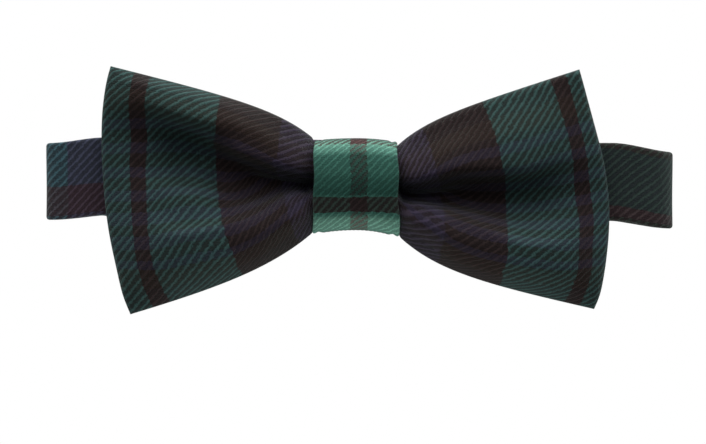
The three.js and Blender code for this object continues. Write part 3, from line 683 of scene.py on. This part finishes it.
def plain_cloth(name, code, thread_pair, rough=0.9):
    """A plain weave in object coordinates: one sine wave across times another along, one wave for
    each pair of threads, with a fine mottle over both."""
    material, tree, shader = new_material(name)
    place = add(tree, "TexCoord", out="Object")
    x = add(tree, "SeparateXYZ", (place,))
    waves = []
    for axis in (x, x.node.outputs[2]):
        turn = add(tree, "Math", (axis, 2 * math.pi / (thread_pair * MM)), operation="MULTIPLY")
        waves.append(add(tree, "Math", (turn,), operation="SINE"))
    weave_height = add(tree, "Math", waves, operation="MULTIPLY")
    mottle = add(tree, "TexNoise", {"Vector": place, "Scale": 900.0, "Detail": 2.0})
    shade = add(tree, "Math", (mottle, 0.4, 0.8), operation="MULTIPLY_ADD")
    # Painted light and shade: the weave's waves lighten and darken the colour a little.
    shade = add(tree, "Math", (weave_height, 0.08, shade), operation="MULTIPLY_ADD")
    tint = add(tree, "Mix", {0: 1.0, 6: colour(code), 7: shade}, out=2, data_type="RGBA",
               blend_type="MULTIPLY")
    bump = add(tree, "Bump", {"Height": weave_height, "Distance": 0.00008, "Strength": 0.7})
    tree.links.new(tint, shader.inputs["Base Color"])
    tree.links.new(bump, shader.inputs["Normal"])
    shader.inputs["Roughness"].default_value = rough
    shader.inputs["Sheen Weight"].default_value = 0.15
    return material


canvas_cloth = plain_cloth("interfacing_canvas", "#cfc8b8", 0.7)


def inner_sheet(spec):
    """One wing's canvas: just behind the face, and short of the edges."""
    out = np.linspace(0.0, 0.93, 110)
    rows = np.linspace(0.10, 0.90, 90)
    x, z, front, rear = wing(spec, out, rows)
    face = np.minimum(np.maximum(front - 0.9, rear + CANVAS + 0.1), front - 0.45)
    one = np.stack([x, -face, z], axis=-1)
    two = np.stack([x, -(face - CANVAS), z], axis=-1)
    return one, two


left_one, left_two = inner_sheet(LEFT)
right_one, right_two = inner_sheet(RIGHT)
one = settle(np.concatenate([left_one[::-1], right_one[1:]]))
two = settle(np.concatenate([left_two[::-1], right_two[1:]]))
rings = np.concatenate([one, two[:, ::-1]], axis=1)
flat = np.zeros((rings.shape[0], rings.shape[1] + 1))
canvas = tube_piece("bow_interfacing_canvas", rings, flat, flat, canvas_cloth, flip=True)
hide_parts("bow_interfacing")
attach(canvas, "root")
print("canvas", rings.shape, "thickness", CANVAS)

# %% [markdown]
# ## The knot
# A strip of the same cloth is wrapped round the pinched middle and sewn shut behind. Its long
# edges are folded under, so they are rounded. It is pulled in a little at its waist, and its
# lower corners flare over the wings.

# %% Make the knot
KNOT_FRONT = 15.6  # how far forward the knot's face stands
KNOT_TOP = 11.6
KNOT_BOTTOM = -10.2
KNOT_HALF_WIDTH = 10.0
KNOT_WALL = 1.2  # the doubled strip's thickness


def round_the_knot(count):
    """The wrap's outer line in (y, z), from the back's middle up, over the front and back."""
    middle = (KNOT_TOP + KNOT_BOTTOM) / 2
    half = (KNOT_TOP - KNOT_BOTTOM) / 2
    radius = 2.5
    turn = np.linspace(0, 0.5, 12) * np.pi
    upper = np.stack([-radius + radius * np.cos(turn), half - radius + radius * np.sin(turn)], axis=-1)
    deep, power = 8.0, 2.35
    sweep = np.linspace(0.5, 1.5, 120) * np.pi
    round_y = -np.abs(np.cos(sweep)) ** (2 / power) * deep
    round_z = np.sign(np.sin(sweep)) * np.abs(np.sin(sweep)) ** (2 / power) * half
    front = np.stack([round_y - (KNOT_FRONT - deep), round_z], axis=-1)
    lower = upper[::-1] * (1, -1)
    line = np.concatenate([[(0.0, 0.35)], upper, front, lower, [(0.0, -0.35)]])
    walked = along(line)
    keep = np.concatenate([[True], np.diff(walked) > 1e-6])
    place = np.linspace(0, walked[-1], count)
    y = np.interp(place, walked[keep], line[keep, 0])
    z = np.interp(place, walked[keep], line[keep, 1])
    for _ in range(4):
        y[1:-1] = (y[:-2] + 2 * y[1:-1] + y[2:]) / 4
        z[1:-1] = (z[:-2] + 2 * z[1:-1] + z[2:]) / 4
    return np.stack([y, z + middle], axis=-1), place


def make_knot():
    """Sweep a thin strip with rounded sides round the knot's line."""
    line, place = round_the_knot(260)
    outward = beside(line)
    radius = KNOT_WALL / 2
    across = np.linspace(-1, 1, 66)
    turn = np.linspace(0, np.pi, 9)[1:-1]
    flat_half = KNOT_HALF_WIDTH - radius
    strip_x = np.concatenate([across * flat_half, flat_half + radius * np.sin(turn),
                              across[::-1] * flat_half, -flat_half - radius * np.sin(turn)])
    strip_n = np.concatenate([np.full(66, radius), radius * np.cos(turn),
                              np.full(66, -radius), -radius * np.cos(turn)])
    side = strip_x / KNOT_HALF_WIDTH
    outer = strip_n > 0
    crease = -0.28 * np.exp(-((np.abs(side) - 0.86) / 0.05) ** 2) * outer
    level = -radius + strip_n + crease
    y = line[:, 0, None] + outward[:, 0, None] * level[None, :]
    z = line[:, 1, None] + outward[:, 1, None] * level[None, :]
    high = smooth((z - 4) / 7)
    low = smooth((-z - 2) / 8)
    pull = np.where(side > 0, 1.0, 0.55)[None, :] * side[None, :] ** 2
    z = z - high * 0.9 * pull - low * 1.7 * pull
    flare = 1 + 0.035 * low - 0.015 * high
    x = strip_x[None, :] * flare + 0.16 * np.sin(z * 0.6)
    middle = np.argmin(np.abs(line[:, 1] + 4.2) + 99.0 * (line[:, 0] > -10))
    u = np.concatenate([strip_x, strip_x[:1]])[None, :] + 0 * z[:, :1]
    v = -(place - place[middle])[:, None] + 0 * u
    rings = np.stack([x, y, z], axis=-1)
    return tube_piece("knot_cloth", rings, u, v, knot_cloth, flip=False)


def make_lining():
    """A strip of canvas just inside the knot's front, from its top fold to its bottom fold."""
    line, _ = round_the_knot(120)
    outward = beside(line)
    inner = line - outward * (KNOT_WALL + 0.45)
    inner = inner[inner[:, 0] < -7.0]
    outward = outward[line[:, 0] < -7.0 - (KNOT_WALL + 0.45) * outward[:, 0]][:len(inner)]
    across = np.linspace(-8.6, 8.6, 24)
    x = np.concatenate([across, across[::-1]])[None, :] + 0 * inner[:, :1]
    deep = np.concatenate([np.zeros(24), np.full(24, 0.4)])[None, :]
    y = inner[:, 0, None] - outward[:, 0, None] * deep
    z = inner[:, 1, None] - outward[:, 1, None] * deep
    blank = np.zeros((len(inner), 49))
    piece = tube_piece("knot_lining_canvas", np.stack([x, y, z], axis=-1), blank, blank, canvas_cloth)
    return piece, float(along(inner)[-1])


lining, lining_run = make_lining()
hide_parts("knot_interfacing")
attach(lining, "root")
knot = make_knot()
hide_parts("knot_wrap")
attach(knot, "root")
knot_run = float(round_the_knot(260)[1][-1])
print("knot strip", round(knot_run, 1), "lining", round(lining_run, 1))

# %% [markdown]
# ## The neck band
# The band is a strip of the twill, folded round a firm interlining with its raw edges inside.
# It is stiff enough to stand on edge, so it is swept along the loop it takes round the collar.

# %% Band helpers
BAND_HEIGHT = 18.4
BAND_THICKNESS = 1.6
BAND_RISE = 0.7  # the band's middle above the bow's
OFF_GRAIN = 0.033  # the strip was cut a little askew, so its crosswise stripes drift


def arc(x, y, radius, start, stop, step=0.35):
    """Points on an arc in plan."""
    count = max(6, int(abs(stop - start) * radius / step))
    turn = np.linspace(start, stop, count)
    return np.stack([x + radius * np.cos(turn), y + radius * np.sin(turn)], axis=-1)


def joined_path(*parts, step=0.7):
    """One path through the parts in order, evenly spaced."""
    path = np.concatenate([np.atleast_2d(np.asarray(p, float)) for p in parts])
    walked = along(path)
    keep = np.concatenate([[True], np.diff(walked) > 1e-6])
    walked, path = walked[keep], path[keep]
    place = np.linspace(0, walked[-1], max(4, int(walked[-1] / step)))
    return np.stack([np.interp(place, walked, path[:, k]) for k in (0, 1)], axis=-1)


def droop(path):
    """How far the band's visible front ends hang off level, fading out along each side."""
    x, y = path[:, 0], path[:, 1]
    left = 2.0 * smooth((-x - 14) / 30) - 1.3 * smooth((-x - 60) / 13)
    right = 0.7 * smooth((x - 14) / 30) - 2.1 * smooth((x - 61) / 15)
    return (left + right) * (1 - smooth((y - 34) / 22))


def band_section(height, thickness):
    """The folded strip's section: outer face, top fold, inner face with its seam, bottom fold."""
    radius = thickness / 2
    face = np.linspace(-1, 1, 30) * (height / 2 - radius)
    turn = np.linspace(0, np.pi, 8)[1:-1]
    seam = -0.16 * np.exp(-((face[::-1] - 1.5) / 0.35) ** 2)
    n = np.concatenate([np.full(30, radius), radius * np.cos(turn), -radius - seam, -radius * np.cos(turn)])
    z = np.concatenate([face, height / 2 - radius + radius * np.sin(turn), face[::-1],
                        -height / 2 + radius - radius * np.sin(turn)])
    return n, z


def band_piece(name, path, material, u_start, outside=1.0, height=BAND_HEIGHT,
               thickness=BAND_THICKNESS):
    """Sweep the band's section along a path in plan; outside says which side is the outer face."""
    n, z = band_section(height, thickness)
    normal = beside(path) * outside
    walked = along(path)
    wave = 0.05 * np.sin(walked[:, None] * 0.41 + z[None, :] * 0.3)
    off = n[None, :] + wave
    x = path[:, 0, None] + normal[:, 0, None] * off
    y = path[:, 1, None] + normal[:, 1, None] * off
    up = BAND_RISE + droop(path)[:, None] + z[None, :]
    around = np.concatenate([[0], np.cumsum(np.hypot(np.diff(n), np.diff(z)))])
    v_line = np.concatenate([around, [around[-1] + 0.3]]) + z[0]
    u = (u_start - walked)[:, None] + 0 * v_line[None, :]
    v = v_line[None, :] + OFF_GRAIN * u - 0.85
    rings = np.stack([x, y, up], axis=-1)
    return tube_piece(name, rings, u, v, material, flip=outside < 0)


print("points round the band", len(band_section(BAND_HEIGHT, BAND_THICKNESS)[0]))

# %% [markdown]
# ## The band's route
# From the ring the band goes round the right side, across behind the knot and round the left side to a
# short bend, which is where the strap swings. It then runs to the hook, folds round the hook's bar and
# comes back to the slider. Each stretch that moves on its own is its own piece, and the two that cross a
# joint are fixed in place and joined to no part.

# %% Make the band, from the ring end round the front to the strap's bend
RING_BAR = (28.2, 69.8)
WRAP = 1.7  # from a bar's middle to the middle of the strap round it
TURN = math.radians(14)  # how far a sewn end turns in to lie on the strap
FLAP = 6.0  # the sewn end's length past its bar
ring_wrap = arc(*RING_BAR, WRAP, 1.5 * math.pi + TURN, 0.5 * math.pi, 0.25)
flap = ring_wrap[0] + FLAP * np.array([math.cos(TURN), math.sin(TURN)])
front_path = joined_path(
    flap, ring_wrap, (33.0, 72.25), (37.751, 73.0),
    arc(37.751, 53, 20, math.pi / 2, 0.3327), (74.916, 6.686),
    arc(68.3, 4.4, 7, 0.3327, -math.pi / 2), (-70.1, -2.6),
    arc(-70.1, 0.6, 3.2, -math.pi / 2, -3.4295), (-56.241, 58.678),
    arc(-37.064, 53, 20, 2.8537, 1.795), step=0.62,
)
walked = along(front_path)
front_at = walked[np.argmin(np.abs(front_path[:, 0]) + 99.0 * (front_path[:, 1] > 5))]
band = band_piece("neck_band_cloth", front_path, band_cloth, front_at, outside=-1.0)
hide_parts("front_band", "left_front_fold", "left_side_band", "left_back_corner",
            "right_front_fold", "right_side_band", "right_back_corner", "short_strap",
            "short_strap_end")
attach(band, "root")
inside = slice(*np.searchsorted(walked, (70.0, walked[-1] - 26.0)))
interlining = band_piece("band_interlining", front_path[inside], canvas_cloth, 0.0, outside=-1.0,
                         height=15.6, thickness=0.5)
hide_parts("front_band_interlining", "left_side_band_interlining",
            "right_side_band_interlining")
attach(interlining, "root")
print("band length", round(float(walked[-1]), 1))

bend_path = joined_path(arc(-37.064, 53, 20, 1.795, math.pi / 2), (-31.5, 73.0), step=0.5)
bend_start = front_at - walked[-1]
bend = band_piece("strap_bend_cloth", bend_path, band_cloth, bend_start, outside=-1.0)
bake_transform(bend)

HOOK_BAR = (12.0, 71.3)
SLIDER_BAR = (-14.0, 69.4)
lean = math.atan2(HOOK_BAR[1] - SLIDER_BAR[1], HOOK_BAR[0] - SLIDER_BAR[0])
fold_end = -math.pi / 2 + lean
strap_path = joined_path((-31.5, 73.0), arc(*HOOK_BAR, WRAP, math.pi / 2, fold_end, 0.25), step=0.6)
strap_start = bend_start - along(bend_path)[-1]
strap = band_piece("long_strap_cloth", strap_path, band_cloth, strap_start, outside=-1.0)
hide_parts("long_strap", "long_strap_hook_fold")
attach(strap, "long_strap")

side = np.array([math.cos(fold_end), math.sin(fold_end)]) * WRAP
back_path = joined_path(np.array(HOOK_BAR) + side, np.array(SLIDER_BAR) + side, step=0.8)
back_start = strap_start - along(strap_path)[-1]
back_run = band_piece("long_strap_return_cloth", back_path, band_cloth, back_start, outside=-1.0)
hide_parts("long_strap_return")
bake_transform(back_run)

end_turn = fold_end - math.pi - TURN
end_wrap = arc(*SLIDER_BAR, WRAP, fold_end, end_turn, 0.25)
flap_angle = end_turn - math.pi / 2
end_flap = end_wrap[-1] + FLAP * np.array([math.cos(flap_angle), math.sin(flap_angle)])
end_path = joined_path(end_wrap, end_flap, step=0.5)
end_start = back_start - along(back_path)[-1]
end_piece = band_piece("long_strap_end_cloth", end_path, band_cloth, end_start, outside=-1.0)
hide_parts("long_strap_end")
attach(end_piece, "slider")

# %% [markdown]
# ## Metal and thread
# The hook, ring and slider are bent from nickel-plated steel wire, and the hook's tongue is a
# pressed plate with its lip turned in. Sewing thread is polyester with a slight shine.

# %% Metal and thread materials


def nickel_plate():
    """Bright nickel with fine rub marks that roughen it unevenly."""
    material, tree, shader = new_material("nickel_plate")
    place = add(tree, "TexCoord", out="Object")
    rub = add(tree, "TexNoise", {"Vector": place, "Scale": 260.0, "Detail": 3.0})
    rough = add(tree, "MapRange", (rub, 0.3, 0.7, 0.16, 0.28))
    bump = add(tree, "Bump", {"Height": rub, "Distance": 0.000005, "Strength": 0.2})
    tree.links.new(rough, shader.inputs["Roughness"])
    tree.links.new(bump, shader.inputs["Normal"])
    shader.inputs["Base Color"].default_value = colour("#c9c4bb")
    shader.inputs["Metallic"].default_value = 1.0
    return material


nickel = nickel_plate()
thread = plain_cloth("sewing_thread", "#2a3836", 0.35, 0.6)
WIRE = 0.6  # the wire's radius
CORNER_STEPS = 7  # points round each bend
RAIL_MIDDLE = 10.7  # the wire's middle above and below the strap's middle


def rounded_line(corners, radius):
    """Points along straight lines with each inner corner rounded by a quarter-turn curve."""
    corners = np.asarray(corners, float)
    line = [corners[0]]
    for before, at, after in zip(corners[:-2], corners[1:-1], corners[2:]):
        back = before - at
        ahead = after - at
        back = at + back / np.linalg.norm(back) * radius
        ahead = at + ahead / np.linalg.norm(ahead) * radius
        t = np.linspace(0, 1, CORNER_STEPS)[:, None]
        line += list(back * (1 - t) ** 2 + 2 * at * t * (1 - t) + ahead * t * t)
    line.append(corners[-1])
    return np.array(line)


def sweep(name, line, radius, material, sides=14, steady=(0.0, 1.0, 0.0)):
    """A round rod along a line of points, with closed ends. One extra ring close to each end keeps
    the end's shading off the rod's side."""
    line = np.asarray(line, float)
    keep = np.concatenate([[True], np.linalg.norm(np.diff(line, axis=0), axis=1) > 1e-6])
    line = line[keep]
    first, last = line[1] - line[0], line[-2] - line[-1]
    near_first = line[0] + 0.02 * first / np.linalg.norm(first)
    near_last = line[-1] + 0.02 * last / np.linalg.norm(last)
    line = np.concatenate([line[:1], [near_first], line[1:-1], [near_last], line[-1:]])
    ahead = heading(line)
    steady = np.asarray(steady, float)
    one = steady[None, :] - ahead * (ahead @ steady)[:, None]
    one = one / np.linalg.norm(one, axis=1, keepdims=True)
    two = np.cross(ahead, one)
    turn = np.linspace(0, 2 * np.pi, sides, endpoint=False)
    ring = one[:, None, :] * np.cos(turn)[None, :, None] + two[:, None, :] * np.sin(turn)[None, :, None]
    rings = line[:, None, :] + radius * ring
    blank = np.zeros((len(line), sides + 1))
    return tube_piece(name, rings, blank, blank, material)


def frame_loop(x_near, x_far, y):
    """A four-sided wire frame standing on edge, from the middle of its near bar right round."""
    low, high = BAND_RISE - RAIL_MIDDLE, BAND_RISE + RAIL_MIDDLE
    return rounded_line([(x_near, y, BAND_RISE), (x_near, y, high), (x_far, y, high), (x_far, y, low),
                         (x_near, y, low), (x_near, y, BAND_RISE)], 1.6)


print("wire", 2 * WIRE, "mm thick, in", nickel.name)

# %% [markdown]
# ## Ring, hook and slider
# Each wire part is a round rod swept along its bent line, with small curves at the corners. The
# ring's loop faces the hook, the hook's tongue drops through it with its lip turned in, and the
# slider's rails arch over the strap to hold a bar inside the sewn end.

# %% Ring
ring = sweep("ring_wire", frame_loop(19.2, 28.2, 69.8), WIRE, nickel)
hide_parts("ring")
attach(ring, "ring")
print("ring", len(ring.data.vertices), "points")

# %% Hook: a wire frame round the strap's fold, and the pressed tongue
hook_wire = sweep("hook_wire", frame_loop(12.0, 16.0, 71.3), WIRE, nickel)
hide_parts("hook")
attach(hook_wire, "hook")


def make_tongue():
    """A plate swept along the tongue and its turned lip; it narrows past its shoulders."""
    plan = rounded_line([(15.3, 71.3, 0), (21.1, 71.3, 0), (21.1, 68.5, 0)], 0.9)[:, :2]
    plan = joined_path(plan, step=0.18)
    walked = along(plan)
    half = 11.1 + (5.4 - 11.1) * smooth((walked - 1.1) / 2.2)
    half = half - 1.2 * smooth((walked - walked[-1] + 1.2) / 1.2) ** 2
    normal = beside(plan)
    turn = np.linspace(-0.5, 0.5, 7) * np.pi
    thick = 0.45
    n = np.concatenate([thick * np.sin(turn), thick * np.sin(turn[::-1])])
    z_round = np.concatenate([thick * np.cos(turn), -thick * np.cos(turn)])
    z_side = np.concatenate([np.ones(7), -np.ones(7)])
    z = BAND_RISE + z_side[None, :] * (half - thick)[:, None] + z_round[None, :]
    x = plan[:, 0, None] + normal[:, 0, None] * n[None, :]
    y = plan[:, 1, None] + normal[:, 1, None] * n[None, :]
    blank = np.zeros((len(plan), 15))
    return tube_piece("hook_tongue", np.stack([x, y, z], axis=-1), blank, blank, nickel, flip=True)


tongue = make_tongue()
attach(tongue, "hook")
print("hook and tongue", len(hook_wire.data.vertices), len(tongue.data.vertices), "points")

# %% Slider: an arched wire frame outside the strap and a bar inside its sewn end


def slider_loop():
    """The slider's frame: straight bars at both ends, rails that arch in to the middle bar."""
    s = np.linspace(-1, 1, 25)
    dip = 0.5 + 0.5 * np.cos(np.pi * s)
    rail = np.stack([-14 + 6 * s, 74.6 + (69.6 - 74.6) * dip, 0 * s], axis=-1)
    high = rail + (0, 0, BAND_RISE + RAIL_MIDDLE)
    low = rail[::-1] + (0, 0, BAND_RISE - RAIL_MIDDLE)
    first = rounded_line([(-20, 74.6, BAND_RISE), high[0], high[1]], 1.0)
    second = rounded_line([high[-2], high[-1], low[0], low[1]], 1.0)
    third = rounded_line([low[-2], low[-1], (-20, 74.6, BAND_RISE)], 1.0)
    return np.concatenate([first, high[2:-2], second, low[2:-2], third])


slider = sweep("slider_frame_wire", slider_loop(), WIRE, nickel, steady=(0.3, 1.0, 0.2))
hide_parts("slider_frame")
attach(slider, "slider")
middle_bar = sweep("slider_middle_bar", [(-14, 69.4, BAND_RISE - 10.6), (-14, 69.4, BAND_RISE + 10.6)],
                   WIRE, nickel)
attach(middle_bar, "slider")
print("slider and bar", len(slider.data.vertices), len(middle_bar.data.vertices), "points")

# %% [markdown]
# ## Sewing
# The knot is closed by hand underneath, where it doesn't show. The thread is a fine rod along a
# sine wave. The pleats' binding and the strap ends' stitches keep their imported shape.

# %% Sewing: the knot's closing stitches, and the carried-over threads


def stitch_row(start, stop, count, sway, lift):
    """A thread that zigzags from side to side as it goes, and dips under at each turn."""
    start, stop, sway, lift = (np.asarray(v, float) for v in (start, stop, sway, lift))
    t = np.linspace(0, 1, count * 12 + 1)
    turn = t * count * 2 * np.pi
    return (start + (stop - start) * t[:, None] + sway * np.sin(turn)[:, None]
            + lift * np.cos(2 * turn)[:, None])


closing_line = stitch_row((-8, -3.6, -10.12), (8, -3.6, -10.12), 8, (0, 0.8, 0), (0, 0, 0.03))
pull = np.where(closing_line[:, 0] > 0, 1.0, 0.55) * (closing_line[:, 0] / KNOT_HALF_WIDTH) ** 2
closing_line[:, 2] = closing_line[:, 2] - 1.7 * pull
closing = sweep("knot_closing_stitch", closing_line, 0.13, thread, sides=8)
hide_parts("knot_closing_stitches")
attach(closing, "root")
print("closing thread", round(float(along(closing_line)[-1]), 1), "mm")
for node in ("waist_binding_thread", "short_strap_stitches", "long_strap_stitches"):
    for place in bpy.data.objects[node].material_slots:
        place.material = thread

# %% [markdown]
# ## Floor, light and camera
# The tie is lit as on a white table: a broad soft light from above and a little behind, which
# leaves the folds dark, and a weak softbox below. The floor looks white but gives back little
# light, so that the undersides stay dark. The camera is level, in front, with a long lens.

# %% Floor
FLOOR_REACH = 1300.0
FLOOR_LEVEL = -230.0


def make_floor():
    """A big white square well below the tie."""
    far, low = FLOOR_REACH, FLOOR_LEVEL
    points = np.array([[-far, -far, low], [far, -far, low], [far, far, low], [-far, far, low]])
    corners = [[0, 0], [1, 0], [1, 1], [0, 1]]
    material, tree, shader = new_material("white_floor")
    eye = add(tree, "LightPath", out="Is Camera Ray")
    glow = add(tree, "Mix", {0: eye, 2: 0.12, 3: 1.0}, data_type="FLOAT")
    shader.inputs["Base Color"].default_value = colour("#101010")
    shader.inputs["Roughness"].default_value = 0.9
    shader.inputs["Emission Color"].default_value = (1.0, 1.0, 1.0, 1.0)
    tree.links.new(glow, shader.inputs["Emission Strength"])
    return mesh_piece("floor", points, [0, 1, 2, 3], [4], corners, material, smooth_shaded=False)


floor = make_floor()
print("floor at", FLOOR_LEVEL)

# %% Light


def soft_tent():
    """A world that is white to the eye. As light it grows from 0.05 to 1.9 overhead, and to 1.1
    behind the tie, whichever is more."""
    world = bpy.data.worlds.new("soft_tent")
    world.use_nodes = True
    tree = world.node_tree
    tree.nodes.clear()
    across = add(tree, "SeparateXYZ", (add(tree, "TexCoord", out="Generated"),))
    behind, up = across.node.outputs[1], across.node.outputs[2]
    ease = {"interpolation_type": "SMOOTHSTEP"}
    overhead = add(tree, "MapRange", (up, 0.30, 0.85, 0.05, 1.9), **ease)
    beyond = add(tree, "MapRange", (behind, 0.0, 0.5, 0.0, 1.1), **ease)
    light = add(tree, "Math", (overhead, beyond), operation="MAXIMUM")
    seen = add(tree, "LightPath", out="Is Camera Ray")
    level = add(tree, "Mix", {0: seen, 2: light, 3: 1.0}, data_type="FLOAT")
    backdrop = add(tree, "Background", ((1, 1, 1, 1), level))
    add(tree, "OutputWorld", (backdrop,))
    return world


def soft_light(name, place, turn, size, power):
    """A square softbox that the camera doesn't see."""
    data = bpy.data.lights.new(name, "AREA")
    data.size = size
    data.energy = power
    lamp = bpy.data.objects.new(name, data)
    lamp.location = place
    lamp.rotation_euler = turn
    lamp.visible_camera = False
    bpy.context.scene.collection.objects.link(lamp)
    return lamp


bpy.context.scene.world = soft_tent()
lamp = soft_light("low_softbox", (0.0, -0.02, -0.20), (math.pi, 0.0, 0.0), 0.16, 0.145)
print("softbox", lamp.name, "watts", round(lamp.data.energy, 3))

# %% Camera
CAMERA_PLACE = (-0.0007, -0.909, -0.0083)
camera = bpy.data.cameras.new("camera")
camera.sensor_width = 36.0
camera.lens = 193.7
camera_object = bpy.data.objects.new("camera", camera)
camera_object.location = CAMERA_PLACE
camera_object.rotation_euler = (math.pi / 2, 0.0, 0.0)
bpy.context.scene.collection.objects.link(camera_object)
bpy.context.scene.camera = camera_object
bpy.context.scene.view_settings.view_transform = "Standard"
print("camera", CAMERA_PLACE, "lens", round(camera.lens, 1))
